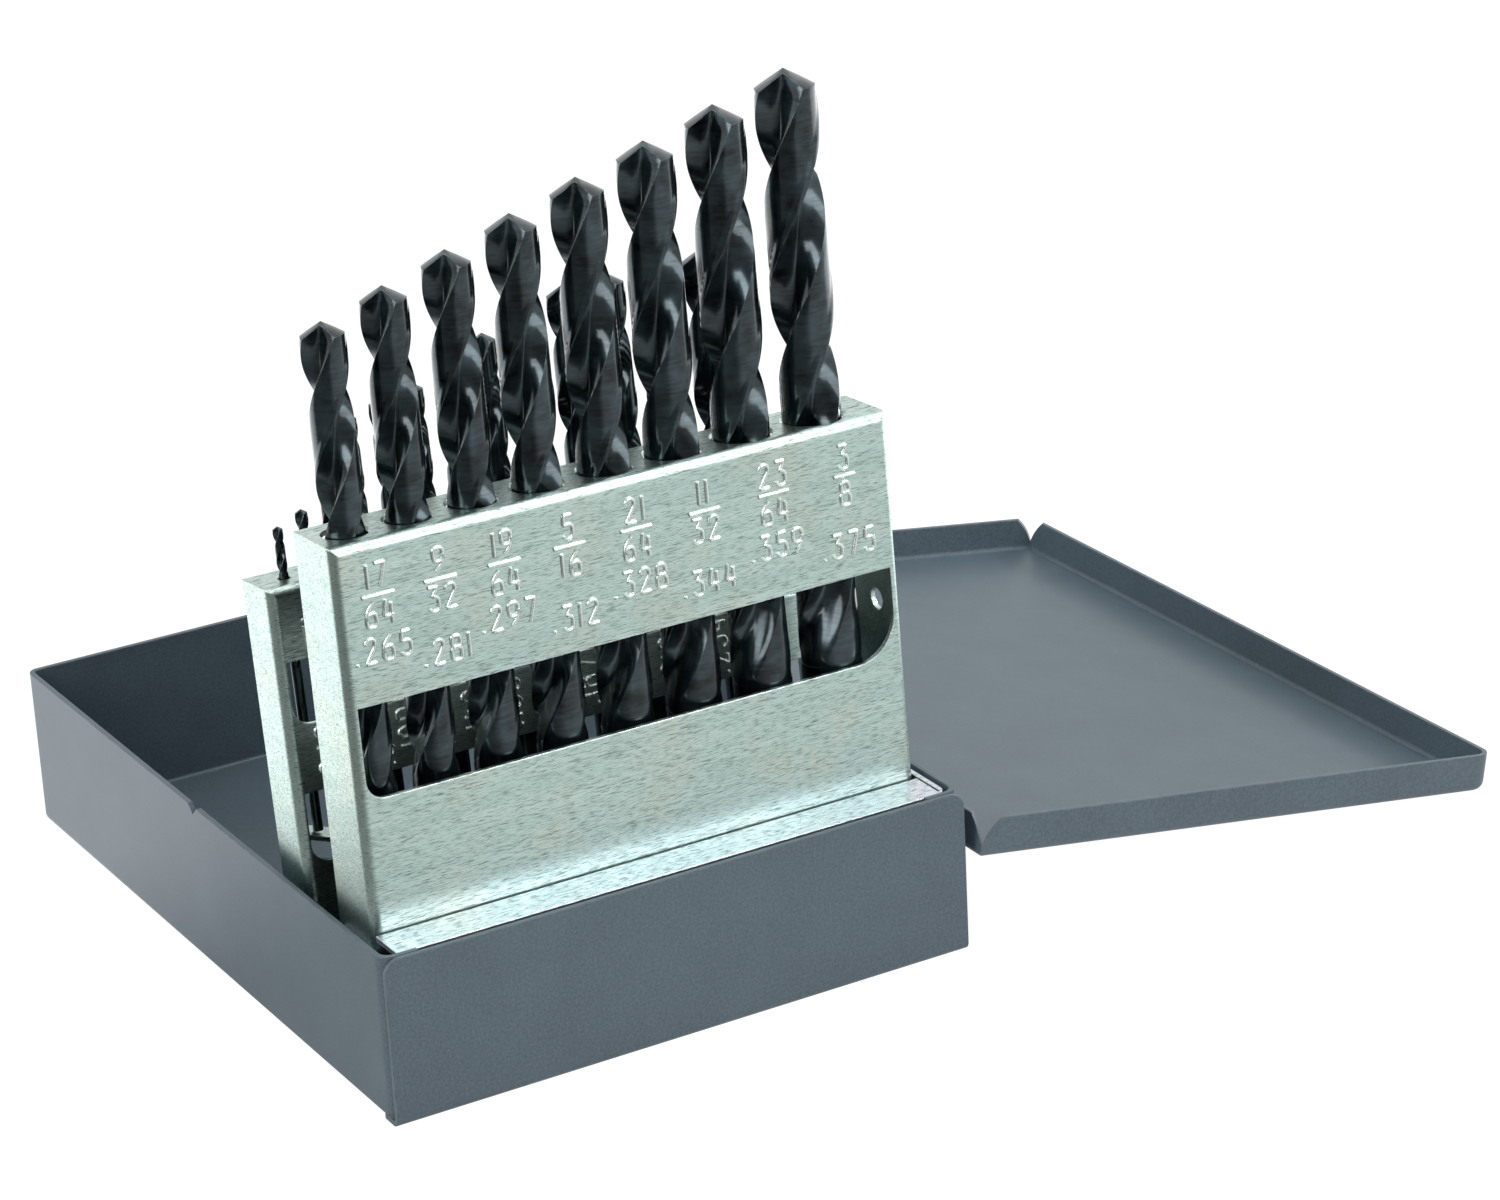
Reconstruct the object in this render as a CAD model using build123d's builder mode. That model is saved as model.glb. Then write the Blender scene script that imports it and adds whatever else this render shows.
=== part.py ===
"""A sheet-steel index case for a 21-piece set of jobber twist drills, open with its racks up.

Millimetres. +Z is up, +X runs to the right along the tray's front wall and +Y runs to the back.
The origin is the middle of the tray's underside. The tray stands on z = 0, both racks stand
upright, and the lid is swung right over its hinge until its free edge rests on z = 0 too.
"""
from build123d import *
import os
from math import asin, atan, ceil, cos, degrees, hypot, pi, radians, sin, tan

os.makedirs("parts", exist_ok=True)

INCH = 25.4

# ---- driving dimensions: painted tray ----
TRAY_WIDTH = 99.0  # along X, outside
TRAY_DEPTH = 134.0  # along Y, outside
TRAY_HEIGHT = 27.0
CASE_SHEET = 0.8  # steel of the tray and the lid
TRAY_BEND = 1.4  # outside radius where the walls fold up from the floor
TRAY_BACK_CORNER = 1.8  # outside radius of the two back corners
RETURN_TAB = 6.0  # side walls' tabs folded in behind the front wall
RETURN_TAB_BEND = 2.4  # outside radius of that fold
CORNER_SEAM = 0.25  # gap between the front wall and the tabs behind it
FRONT_WALL_ROUND = 2.6  # rounded top corners of the front wall
CATCH_NOTCH_WIDTH = 3.2  # snipped catch in the left wall's top edge
CATCH_NOTCH_DEPTH = 1.5
CATCH_NOTCH_BACK = 67.0  # from the front

# ---- driving dimensions: lid and hinge ----
LID_DEPTH = 6.5  # outside height of the lid's flanges
LID_CLEARANCE = 0.3  # between the closed lid and the tray
LID_BEND = 1.6  # outside radius where the flanges fold up
LID_CORNER_ROUND = 3.0  # the one corner that is drawn round
LID_NOTCH_HALF = 3.2  # half of the V notch between two flanges, at its top
LID_NOTCH_FLOOR = 1.7  # height of the notch's point above the plate's outside
PIN_DIAMETER = 1.6
PIN_CLEARANCE = 0.06  # radial, in the knuckles
KNUCKLE_DIAMETER = 3.2
KNUCKLE_COUNT = 5
KNUCKLE_GAP = 0.3
HINGE_LENGTH = 112.0
HINGE_DROP = 5.2  # from the tray's top edge down to the pin
HINGE_LEAF_SHEET = 0.6
HINGE_LEAF_HEIGHT = 7.0

# ---- driving dimensions: racks ----
RACK_SHEET = 0.8
RACK_BEND = 1.5  # outside radius of the racks' folds
FRONT_RACK_DEPTH = 12.0
FRONT_RACK_LEAN = 4.0  # degrees back from upright
FRONT_PIVOT_BACK = 13.2  # from the tray's front
FRONT_PIVOT_HEIGHT = 20.5
FRONT_FACE_AHEAD = 4.5  # from the pivot forward to the rack's face
FRONT_FLOOR_BELOW = 8.4  # from the pivot down to where the shanks stand
FRONT_TOP_OVER_FLOOR = 73.5
FRONT_FIRST_HOLE = 5.4  # from the rack's left end to the first drill
FRONT_LAST_HOLE = 9.6  # from the last drill to the rack's right end
FRONT_WINDOW_TOP = 24.4  # below the rack's top
FRONT_WINDOW_BOTTOM = 38.6
FRONT_WINDOW_LEFT_ROUND = 3.0
FRONT_WINDOW_RIGHT_ROUND = 7.0
WINDOW_EDGE = 1.5  # sheet left between a window and the rack's ends
END_HOLE_DIAMETER = 3.4  # in the right end flange, seen through the window
END_HOLE_BELOW = 31.0  # below the rack's top
REAR_RACK_DEPTH = 9.0
REAR_RACK_LEAN = 6.0  # degrees back from upright
REAR_PIVOT_BACK = 34.5
REAR_PIVOT_HEIGHT = 8.0
REAR_FACE_AHEAD = 4.5
REAR_TOP_OVER_PIVOT = 63.8
REAR_FIRST_HOLE = 4.8
REAR_LAST_HOLE = 13.2
REAR_SHELF_HIGH = 40.0  # the shelf's depth below the rack's top, at the first drill
REAR_SHELF_LOW = 68.0  # and at the last drill
REAR_WINDOW_TOPS = (11.5, 32.0)
REAR_WINDOW_BOTTOMS = (21.5, 43.0)
REAR_WINDOW_ROUND = 3.0
HOLE_CLEARANCE = 0.25  # radial, round every drill
SEAT_GAP = 0.05  # under a seated shank
SHELF_TAB = 3.5

# ---- driving dimensions: cradle and pivots ----
CRADLE_SHEET = 0.8
CRADLE_BEND = 1.9  # outside radius of its folds
CRADLE_STRIP_GAP = 0.4  # between the strip and the front rack's face
CRADLE_BELOW_TOP = 0.1  # strip below the tray's top edge
CRADLE_EAR_GAP = 0.4  # between the ears and the racks' ends
CRADLE_SIDE_SPACE = 1.0  # between the tray's side walls and the ears, for the rivet heads
CRADLE_FOOT = 8.0  # length of the foot on the tray's floor
CRADLE_LIFT = 0.8  # ears and leg clear the bend round the tray's floor
LEFT_EAR_TOP = 24.0
EAR_REAR_TOP = 14.0
EAR_SHOULDER_BACK = 18.0
EAR_BACK = 40.0
PIVOT_DIAMETER = 2.6
PIVOT_CLEARANCE = 0.06
PIVOT_HEAD_DIAMETER = 5.0
PIVOT_HEAD = 0.7
PIVOT_PLAY = 0.1

# ---- driving dimensions: the drills ----
POINT_ANGLE = 118.0
SMALLEST_64THS = 4
LAST_REAR_64THS = 16
LARGEST_64THS = 24
# overall lengths in eighths of an inch, from 1/16 up to 3/8 by 64ths
JOBBER_EIGHTHS = (15, 16, 18, 21, 22, 23, 25, 26, 28, 29, 30, 31, 32, 33, 34, 35, 36, 37, 38, 39, 40)
# flute lengths in sixteenths of an inch, for the same sizes
FLUTE_SIXTEENTHS = (14, 16, 20, 24, 26, 28, 32, 34, 37, 39, 40, 42, 44, 46, 47, 49, 51, 53, 55, 56, 58)
HELIX_ANGLE = 29.0
BODY_SHARE = 0.98  # of the drill's diameter, behind the point
LAND_HALF_ANGLE = 52.0  # each land, either side of its middle
WEB_SHARE = 0.22  # the web's thickness, as a share of the drill's diameter
FLUTE_FACET = 60.0  # most twist between two rings of facets

# ---- worked-out places ----
LEFT = -TRAY_WIDTH / 2
RIGHT = TRAY_WIDTH / 2
FRONT = -TRAY_DEPTH / 2
BACK = TRAY_DEPTH / 2
RACK_WIDTH = TRAY_WIDTH - 2 * (CASE_SHEET + CRADLE_SIDE_SPACE + CRADLE_SHEET + CRADLE_EAR_GAP)
RACK_LEFT = -RACK_WIDTH / 2
RACK_RIGHT = RACK_WIDTH / 2
HINGE_X = RIGHT + LID_CLEARANCE + KNUCKLE_DIAMETER / 2
HINGE_Z = TRAY_HEIGHT - HINGE_DROP
LID_TOP = TRAY_HEIGHT + LID_CLEARANCE + CASE_SHEET  # the closed lid's outside
LID_DROP = LID_TOP - HINGE_Z  # from the pin to the plate's outside
LID_REACH = HINGE_X - LEFT + LID_CLEARANCE + CASE_SHEET
LID_NEAR = HINGE_X - RIGHT - LID_CLEARANCE - CASE_SHEET  # from the pin to the hinge flange
LID_HALF = TRAY_DEPTH / 2 + LID_CLEARANCE + CASE_SHEET
# the open lid tips down until the fold along its free edge rests on z = 0
FOLD_REACH = LID_REACH - LID_BEND
FOLD_DROP = LID_DROP - LID_BEND
LID_TIP = degrees(
    asin((HINGE_Z - LID_BEND) / hypot(FOLD_REACH, FOLD_DROP)) - atan(FOLD_DROP / FOLD_REACH)
)


def leaned(angle):
    """The up and back directions of a rack that leans back by this angle."""
    up = Vector(0, sin(radians(angle)), cos(radians(angle)))
    back = Vector(0, cos(radians(angle)), -sin(radians(angle)))
    return up, back


def face_plane(pivot, angle, ahead, above):
    """The plane of a rack's front face, with its origin above the pivot, facing forward."""
    up, back = leaned(angle)
    origin = pivot - back * ahead + up * above
    return Plane(origin=origin, x_dir=(1, 0, 0), z_dir=-back)


def write(solid, name):
    """Label one finished piece and write it as its own STEP file."""
    solid.label = name
    export_step(solid, f"parts/{name}.step")


FRONT_PIVOT = Vector(0, FRONT + FRONT_PIVOT_BACK, FRONT_PIVOT_HEIGHT)
REAR_PIVOT = Vector(0, FRONT + REAR_PIVOT_BACK, REAR_PIVOT_HEIGHT)
FRONT_TOP = FRONT_TOP_OVER_FLOOR - FRONT_FLOOR_BELOW  # above the front pivot
FRONT_HEIGHT = FRONT_TOP_OVER_FLOOR + RACK_SHEET
REAR_BOTTOM = REAR_SHELF_LOW - REAR_TOP_OVER_PIVOT + RACK_SHEET  # below the rear pivot
REAR_HEIGHT = REAR_TOP_OVER_PIVOT + REAR_BOTTOM


# ---- tray ----
with BuildPart() as tray:
    walls_front = FRONT + CASE_SHEET + CORNER_SEAM
    with BuildSketch(Plane.XY):
        with Locations(((LEFT + RIGHT) / 2, (walls_front + BACK) / 2)):
            Rectangle(TRAY_WIDTH, BACK - walls_front)
    extrude(amount=TRAY_HEIGHT)
    uprights = tray.edges().filter_by(Axis.Z).group_by(Axis.Y)
    fillet(uprights[0], radius=RETURN_TAB_BEND)
    fillet(tray.edges().filter_by(Axis.Z).group_by(Axis.Y)[-1], radius=TRAY_BACK_CORNER)
    fillet(tray.faces().sort_by(Axis.Z)[0].edges(), radius=TRAY_BEND)
    offset(amount=-CASE_SHEET, openings=tray.faces().sort_by(Axis.Z)[-1])
    # the front is open between the two return tabs
    with BuildSketch(Plane.XZ.offset(-walls_front - 2 * CASE_SHEET)):
        with Locations((0, CASE_SHEET + TRAY_HEIGHT / 2)):
            Rectangle(TRAY_WIDTH - 2 * RETURN_TAB, TRAY_HEIGHT)
    extrude(amount=3 * CASE_SHEET, mode=Mode.SUBTRACT)
    # the front wall folds up from the floor, outside the tabs
    with BuildSketch(Plane.YZ.offset(LEFT)) as front_fold:
        with BuildLine():
            reach = 3 * TRAY_BEND
            Polyline(
                (FRONT + TRAY_BEND, 0),
                (FRONT + reach, 0),
                (FRONT + reach, CASE_SHEET),
                (FRONT + TRAY_BEND, CASE_SHEET),
            )
            RadiusArc(
                (FRONT + TRAY_BEND, CASE_SHEET),
                (FRONT + CASE_SHEET, TRAY_BEND),
                TRAY_BEND - CASE_SHEET,
            )
            Polyline(
                (FRONT + CASE_SHEET, TRAY_BEND),
                (FRONT + CASE_SHEET, TRAY_HEIGHT),
                (FRONT, TRAY_HEIGHT),
                (FRONT, TRAY_BEND),
            )
            RadiusArc((FRONT, TRAY_BEND), (FRONT + TRAY_BEND, 0), -TRAY_BEND)
        make_face()
    extrude(amount=TRAY_WIDTH)
    top_corners = (
        tray.edges()
        .filter_by(Axis.Y)
        .group_by(Axis.Y)[0]
        .filter_by_position(Axis.Z, TRAY_HEIGHT - 0.01, TRAY_HEIGHT + 0.01)
    )
    fillet(top_corners, radius=FRONT_WALL_ROUND)
    # the catch snipped into the left wall's top edge
    with BuildSketch(Plane.YZ.offset(LEFT - CASE_SHEET)):
        with BuildLine():
            notch = FRONT + CATCH_NOTCH_BACK
            Polyline(
                (notch - CATCH_NOTCH_WIDTH / 2, TRAY_HEIGHT),
                (notch, TRAY_HEIGHT - CATCH_NOTCH_DEPTH),
                (notch + CATCH_NOTCH_WIDTH / 2, TRAY_HEIGHT),
                (notch - CATCH_NOTCH_WIDTH / 2, TRAY_HEIGHT),
            )
        make_face()
    extrude(amount=3 * CASE_SHEET, mode=Mode.SUBTRACT)
write(tray.part, "tray")


# ---- hinge: leaf on the tray, knuckles of both sides, and the pin ----
KNUCKLE_PITCH = HINGE_LENGTH / KNUCKLE_COUNT
TRAY_KNUCKLES = range(1, KNUCKLE_COUNT, 2)
LID_KNUCKLES = range(0, KNUCKLE_COUNT, 2)


def knuckle_span(index):
    """The start and end of one knuckle along the hinge, measured from its middle."""
    start = -HINGE_LENGTH / 2 + index * KNUCKLE_PITCH
    return start + KNUCKLE_GAP / 2, start + KNUCKLE_PITCH - KNUCKLE_GAP / 2


with BuildPart() as hinge_leaf:
    leaf_top = HINGE_Z - KNUCKLE_DIAMETER / 2 - KNUCKLE_GAP
    with BuildSketch(Plane.YZ.offset(RIGHT)):
        with Locations((0, leaf_top - HINGE_LEAF_HEIGHT / 2)):
            Rectangle(HINGE_LENGTH, HINGE_LEAF_HEIGHT)
        for index in TRAY_KNUCKLES:
            start, end = knuckle_span(index)
            with Locations(((start + end) / 2, (leaf_top + HINGE_Z) / 2)):
                Rectangle(end - start, HINGE_Z - leaf_top)
    extrude(amount=HINGE_LEAF_SHEET)
    for index in TRAY_KNUCKLES:
        start, end = knuckle_span(index)
        with BuildSketch(Plane.XZ.offset(-end)):
            with Locations((HINGE_X, HINGE_Z)):
                Circle(KNUCKLE_DIAMETER / 2)
        extrude(amount=end - start)
    with BuildSketch(Plane.XZ.offset(-HINGE_LENGTH / 2)):
        with Locations((HINGE_X, HINGE_Z)):
            Circle(PIN_DIAMETER / 2 + PIN_CLEARANCE)
    extrude(amount=HINGE_LENGTH, mode=Mode.SUBTRACT)
write(hinge_leaf.part, "hinge_leaf")

with BuildPart() as hinge_pin:
    with BuildSketch(Plane.XZ.offset(-HINGE_LENGTH / 2)):
        with Locations((HINGE_X, HINGE_Z)):
            Circle(PIN_DIAMETER / 2)
    extrude(amount=HINGE_LENGTH)
write(hinge_pin.part, "hinge_pin")


# ---- lid, modelled open ----
tip = radians(LID_TIP)
lid_frame = Plane(
    origin=(HINGE_X, 0, HINGE_Z), x_dir=(cos(tip), 0, -sin(tip)), z_dir=(sin(tip), 0, cos(tip))
)


def corner_notch(along, across, half_top, outward):
    """Cut the V notch that parts two flanges at one corner of the lid, rounding their ends."""
    corner = lid_frame.from_local_coords(Vector(along, across, -LID_DROP))
    diagonal = (lid_frame.x_dir * outward[0] + lid_frame.y_dir * outward[1]).normalized()
    side = lid_frame.z_dir.cross(diagonal)
    notch_plane = Plane(origin=corner, x_dir=side, z_dir=diagonal)
    flip = 1 if notch_plane.y_dir.dot(lid_frame.z_dir) > 0 else -1
    with BuildSketch(notch_plane) as notch:
        with BuildLine():
            high = flip * (LID_DEPTH + CASE_SHEET)
            point = (0, flip * LID_NOTCH_FLOOR)
            ends = [(half * half_top, high) for half in (-1, 1)]
            waist = flip * (LID_NOTCH_FLOOR + LID_DEPTH) / 2
            for end, half in zip(ends, (-1, 1)):
                ThreePointArc(point, (half * half_top / 4, waist), end)
            Line(ends[0], ends[1])
        make_face()
    extrude(notch.sketch, amount=LID_NOTCH_HALF * 3, both=True, mode=Mode.SUBTRACT)


with BuildPart() as lid:
    with BuildSketch(lid_frame.offset(-LID_DROP)):
        with Locations(((LID_NEAR + LID_REACH) / 2, 0)):
            Rectangle(LID_REACH - LID_NEAR, 2 * LID_HALF)
    extrude(amount=LID_DEPTH)
    uprights = lid.edges().filter_by(Axis((0, 0, 0), lid_frame.z_dir))
    fillet(uprights.group_by(Axis.X)[-1].sort_by(Axis.Y)[0], radius=LID_CORNER_ROUND)
    outside = lid.faces().sort_by(Axis((0, 0, 0), lid_frame.z_dir))[0]
    fillet(outside.edges(), radius=LID_BEND)
    opened = lid.faces().sort_by(Axis((0, 0, 0), lid_frame.z_dir))[-1]
    offset(amount=-CASE_SHEET, openings=opened)
    corner_notch(LID_REACH, LID_HALF, LID_NOTCH_HALF, (1, 1))
    corner_notch(LID_NEAR, -LID_HALF, LID_NOTCH_HALF, (-1, -1))
    corner_notch(LID_NEAR, LID_HALF, LID_NOTCH_HALF, (-1, 1))
    # the hinge flange is cut away round the tray's knuckles, and outside the hinge
    relief_height = KNUCKLE_DIAMETER / 2 + KNUCKLE_GAP
    with BuildSketch(lid_frame.offset(-relief_height)):
        for index in TRAY_KNUCKLES:
            start, end = knuckle_span(index)
            with Locations((LID_NEAR, (start + end) / 2)):
                Rectangle(4 * CASE_SHEET, end - start + 2 * KNUCKLE_GAP)
    extrude(amount=2 * LID_DEPTH, mode=Mode.SUBTRACT)
    for index in LID_KNUCKLES:
        start, end = knuckle_span(index)
        with BuildSketch(Plane.XZ.offset(-end)):
            with Locations((HINGE_X, HINGE_Z)):
                Circle(KNUCKLE_DIAMETER / 2)
        extrude(amount=end - start)
    with BuildSketch(Plane.XZ.offset(-HINGE_LENGTH / 2)):
        with Locations((HINGE_X, HINGE_Z)):
            Circle(PIN_DIAMETER / 2 + PIN_CLEARANCE)
    extrude(amount=HINGE_LENGTH, mode=Mode.SUBTRACT)
write(lid.part, "lid")


# ---- cradle: zinc-plated strip, front leg and foot, with an ear at each end for the pivots ----
EAR_INNER = RACK_WIDTH / 2 + CRADLE_EAR_GAP
EAR_OUTER = EAR_INNER + CRADLE_SHEET
LEG_FRONT = FRONT + CASE_SHEET + CORNER_SEAM + CASE_SHEET  # against the return tabs
STRIP_TOP = TRAY_HEIGHT - CRADLE_BELOW_TOP
EAR_FOOT = CASE_SHEET + CRADLE_LIFT
# the rack's face at the height of the strip's underside
FACE_AT_STRIP = (
    FRONT_PIVOT.Y
    - FRONT_FACE_AHEAD / cos(radians(FRONT_RACK_LEAN))
    + (STRIP_TOP - CRADLE_SHEET - FRONT_PIVOT.Z) * tan(radians(FRONT_RACK_LEAN))
)

with BuildPart() as cradle:
    # leg and ears: one strip of sheet bent round both front corners
    with BuildSketch(Plane.XY.offset(EAR_FOOT)):
        middle = (LEG_FRONT + FRONT + EAR_BACK) / 2
        with Locations((0, middle)):
            Rectangle(2 * EAR_OUTER, FRONT + EAR_BACK - LEG_FRONT)
        fillet(vertices().group_by(Axis.Y)[0], radius=CRADLE_BEND)
        with Locations((0, middle + CRADLE_SHEET)):
            Rectangle(2 * EAR_INNER, FRONT + EAR_BACK - LEG_FRONT, mode=Mode.SUBTRACT)
    extrude(amount=STRIP_TOP - EAR_FOOT)
    # the ears are tall at the front pivot and low at the rear one
    with BuildSketch(Plane.YZ.offset(-2 * EAR_OUTER)):
        with BuildLine():
            Polyline(
                (LEG_FRONT, EAR_FOOT),
                (FRONT + EAR_BACK, EAR_FOOT),
                (FRONT + EAR_BACK, EAR_REAR_TOP),
                (REAR_PIVOT.Y - PIVOT_HEAD_DIAMETER, EAR_REAR_TOP),
                (FRONT + EAR_SHOULDER_BACK, STRIP_TOP),
                (LEG_FRONT, STRIP_TOP),
                (LEG_FRONT, EAR_FOOT),
            )
        make_face()
        fillet(vertices().group_by(Axis.Y)[-1].sort_by(Axis.Z)[-1], radius=CRADLE_BEND)
    extrude(amount=4 * EAR_OUTER, mode=Mode.INTERSECT)
    # the left ear stays lower than the right one
    with BuildSketch(Plane.XY.offset(LEFT_EAR_TOP)):
        with Locations((-EAR_OUTER, middle)):
            Rectangle(2 * (EAR_OUTER - RACK_WIDTH / 2), 2 * EAR_BACK)
    extrude(amount=TRAY_HEIGHT, mode=Mode.SUBTRACT)
    # strip above, and foot below, folded back from the leg
    with BuildSketch(Plane.YZ.offset(-RACK_WIDTH / 2)):
        with BuildLine():
            leg_back = LEG_FRONT + CRADLE_SHEET
            strip_back = FACE_AT_STRIP - CRADLE_STRIP_GAP
            foot_back = LEG_FRONT + CRADLE_FOOT
            Polyline(
                (LEG_FRONT, CASE_SHEET + CRADLE_BEND),
                (LEG_FRONT, STRIP_TOP),
                (strip_back, STRIP_TOP),
                (strip_back, STRIP_TOP - CRADLE_SHEET),
                (leg_back, STRIP_TOP - CRADLE_SHEET),
                (leg_back, CASE_SHEET + CRADLE_BEND),
            )
            RadiusArc(
                (leg_back, CASE_SHEET + CRADLE_BEND),
                (LEG_FRONT + CRADLE_BEND, CASE_SHEET + CRADLE_SHEET),
                -(CRADLE_BEND - CRADLE_SHEET),
            )
            Polyline(
                (LEG_FRONT + CRADLE_BEND, CASE_SHEET + CRADLE_SHEET),
                (foot_back, CASE_SHEET + CRADLE_SHEET),
                (foot_back, CASE_SHEET),
                (LEG_FRONT + CRADLE_BEND, CASE_SHEET),
            )
            RadiusArc(
                (LEG_FRONT + CRADLE_BEND, CASE_SHEET), (LEG_FRONT, CASE_SHEET + CRADLE_BEND), CRADLE_BEND
            )
        make_face()
    extrude(amount=RACK_WIDTH)
    for pivot in (FRONT_PIVOT, REAR_PIVOT):
        with BuildSketch(Plane.YZ.offset(-EAR_OUTER)):
            with Locations((pivot.Y, pivot.Z)):
                Circle(PIVOT_DIAMETER / 2)
        extrude(amount=2 * EAR_OUTER, mode=Mode.SUBTRACT)
write(cradle.part, "cradle")


def pivot_rivet(pivot, side, name):
    """One pivot rivet: head outside the ear, shank through ear and rack end, head inside."""
    flange_inner = RACK_WIDTH / 2 - RACK_SHEET
    with BuildPart() as rivet:
        with BuildSketch(Plane.YZ.offset(side * EAR_OUTER)):
            with Locations((pivot.Y, pivot.Z)):
                Circle(PIVOT_HEAD_DIAMETER / 2)
        extrude(amount=side * PIVOT_HEAD)
        with BuildSketch(Plane.YZ.offset(side * EAR_OUTER)):
            with Locations((pivot.Y, pivot.Z)):
                Circle(PIVOT_DIAMETER / 2)
        extrude(amount=-side * (EAR_OUTER - flange_inner + PIVOT_PLAY))
        with BuildSketch(Plane.YZ.offset(side * (flange_inner - PIVOT_PLAY))):
            with Locations((pivot.Y, pivot.Z)):
                Circle(PIVOT_HEAD_DIAMETER / 2)
        extrude(amount=-side * PIVOT_HEAD)
    write(rivet.part, name)


for place, pivot in (("front", FRONT_PIVOT), ("rear", REAR_PIVOT)):
    pivot_rivet(pivot, -1, f"{place}_pivot_rivet_left")
    pivot_rivet(pivot, 1, f"{place}_pivot_rivet_right")


# ---- drill places ----
def diameter(sixty_fourths):
    """A drill's diameter in millimetres from its size in 64ths of an inch."""
    return sixty_fourths * INCH / 64


def row_places(first, last, first_hole, last_hole):
    """The X place of each drill in a row, by its size in 64ths of an inch, with even gaps between."""
    between = RACK_WIDTH - first_hole - last_hole
    widths = sum(diameter(size) for size in range(first, last + 1))
    widths -= (diameter(first) + diameter(last)) / 2
    gap = (between - widths) / (last - first)
    places = {first: RACK_LEFT + first_hole}
    for size in range(first + 1, last + 1):
        places[size] = places[size - 1] + (diameter(size) + diameter(size - 1)) / 2 + gap
    return places


REAR_PLACES = row_places(SMALLEST_64THS, LAST_REAR_64THS, REAR_FIRST_HOLE, REAR_LAST_HOLE)
FRONT_PLACES = row_places(LAST_REAR_64THS + 1, LARGEST_64THS, FRONT_FIRST_HOLE, FRONT_LAST_HOLE)
REAR_SHELF_SLOPE = (REAR_SHELF_LOW - REAR_SHELF_HIGH) / (
    REAR_PLACES[LAST_REAR_64THS] - REAR_PLACES[SMALLEST_64THS]
)


def rear_shelf_below(x):
    """How far the sloping shelf lies below the rear rack's top at a place along it."""
    sloped = REAR_SHELF_HIGH + (x - REAR_PLACES[SMALLEST_64THS]) * REAR_SHELF_SLOPE
    return min(sloped, REAR_SHELF_LOW)


# ---- racks ----
front_face = face_plane(FRONT_PIVOT, FRONT_RACK_LEAN, FRONT_FACE_AHEAD, FRONT_TOP)
rear_face = face_plane(REAR_PIVOT, REAR_RACK_LEAN, REAR_FACE_AHEAD, REAR_TOP_OVER_PIVOT)


def rack_shell(rack, face, height, depth, places):
    """A rack folded from one sheet: face, top and two end flanges, open behind and below."""
    with BuildSketch(face) as block:
        with Locations((0, -height / 2)):
            Rectangle(RACK_WIDTH, height)
    extrude(block.sketch, amount=-depth)
    up = Axis((0, 0, 0), face.y_dir)
    ahead = Axis((0, 0, 0), face.z_dir)
    fillet(rack.faces().sort_by(ahead)[-1].edges().sort_by(up)[1:], radius=RACK_BEND)
    openings = [rack.faces().sort_by(ahead)[0], rack.faces().sort_by(up)[0]]
    offset(amount=-RACK_SHEET, openings=openings)
    top = Plane(origin=face.origin - face.z_dir * depth / 2, x_dir=(1, 0, 0), z_dir=face.y_dir)
    with BuildSketch(top) as drill_holes:
        for size, x in places.items():
            with Locations((x, 0)):
                Circle(diameter(size) / 2 + HOLE_CLEARANCE)
    extrude(drill_holes.sketch, amount=-2 * RACK_SHEET, mode=Mode.SUBTRACT)


def pivot_holes(pivot):
    """Bore both end flanges for the pivot rivets."""
    with BuildSketch(Plane.YZ.offset(-RACK_WIDTH / 2)) as bore:
        with Locations((pivot.Y, pivot.Z)):
            Circle(PIVOT_DIAMETER / 2 + PIVOT_CLEARANCE)
    extrude(bore.sketch, amount=RACK_WIDTH, mode=Mode.SUBTRACT)


def window(face, top, bottom, left_round, right_round):
    """Cut one window right across a rack's face, with its lower corners rounded."""
    half = RACK_WIDTH / 2 - WINDOW_EDGE
    with BuildSketch(face.offset(RACK_SHEET)) as opening:
        with BuildLine():
            Polyline(
                (-half, -bottom + left_round), (-half, -top), (half, -top), (half, -bottom + right_round)
            )
            RadiusArc((half, -bottom + right_round), (half - right_round, -bottom), right_round)
            Line((half - right_round, -bottom), (-half + left_round, -bottom))
            RadiusArc((-half + left_round, -bottom), (-half, -bottom + left_round), left_round)
        make_face()
    extrude(opening.sketch, amount=-2.5 * RACK_SHEET, mode=Mode.SUBTRACT)


with BuildPart() as front_rack:
    rack_shell(front_rack, front_face, FRONT_HEIGHT, FRONT_RACK_DEPTH, FRONT_PLACES)
    window(
        front_face,
        FRONT_WINDOW_TOP,
        FRONT_WINDOW_BOTTOM,
        FRONT_WINDOW_LEFT_ROUND,
        FRONT_WINDOW_RIGHT_ROUND,
    )
    pivot_holes(FRONT_PIVOT)
    # the round hole in the right end flange
    up, back = leaned(FRONT_RACK_LEAN)
    hole_middle = front_face.origin - up * END_HOLE_BELOW + back * FRONT_RACK_DEPTH / 2
    with BuildSketch(Plane.YZ.offset(RACK_RIGHT - 2 * RACK_SHEET)):
        with Locations((hole_middle.Y, hole_middle.Z)):
            Circle(END_HOLE_DIAMETER / 2)
    extrude(amount=3 * RACK_SHEET, mode=Mode.SUBTRACT)
write(front_rack.part, "front_rack")

with BuildPart() as rear_rack:
    rack_shell(rear_rack, rear_face, REAR_HEIGHT, REAR_RACK_DEPTH, REAR_PLACES)
    for window_top, window_bottom in zip(REAR_WINDOW_TOPS, REAR_WINDOW_BOTTOMS):
        window(rear_face, window_top, window_bottom, REAR_WINDOW_ROUND, REAR_WINDOW_ROUND)
    pivot_holes(REAR_PIVOT)
write(rear_rack.part, "rear_rack")

SHELF_LEFT = RACK_LEFT + RACK_SHEET
SHELF_RIGHT = RACK_RIGHT - RACK_SHEET


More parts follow.
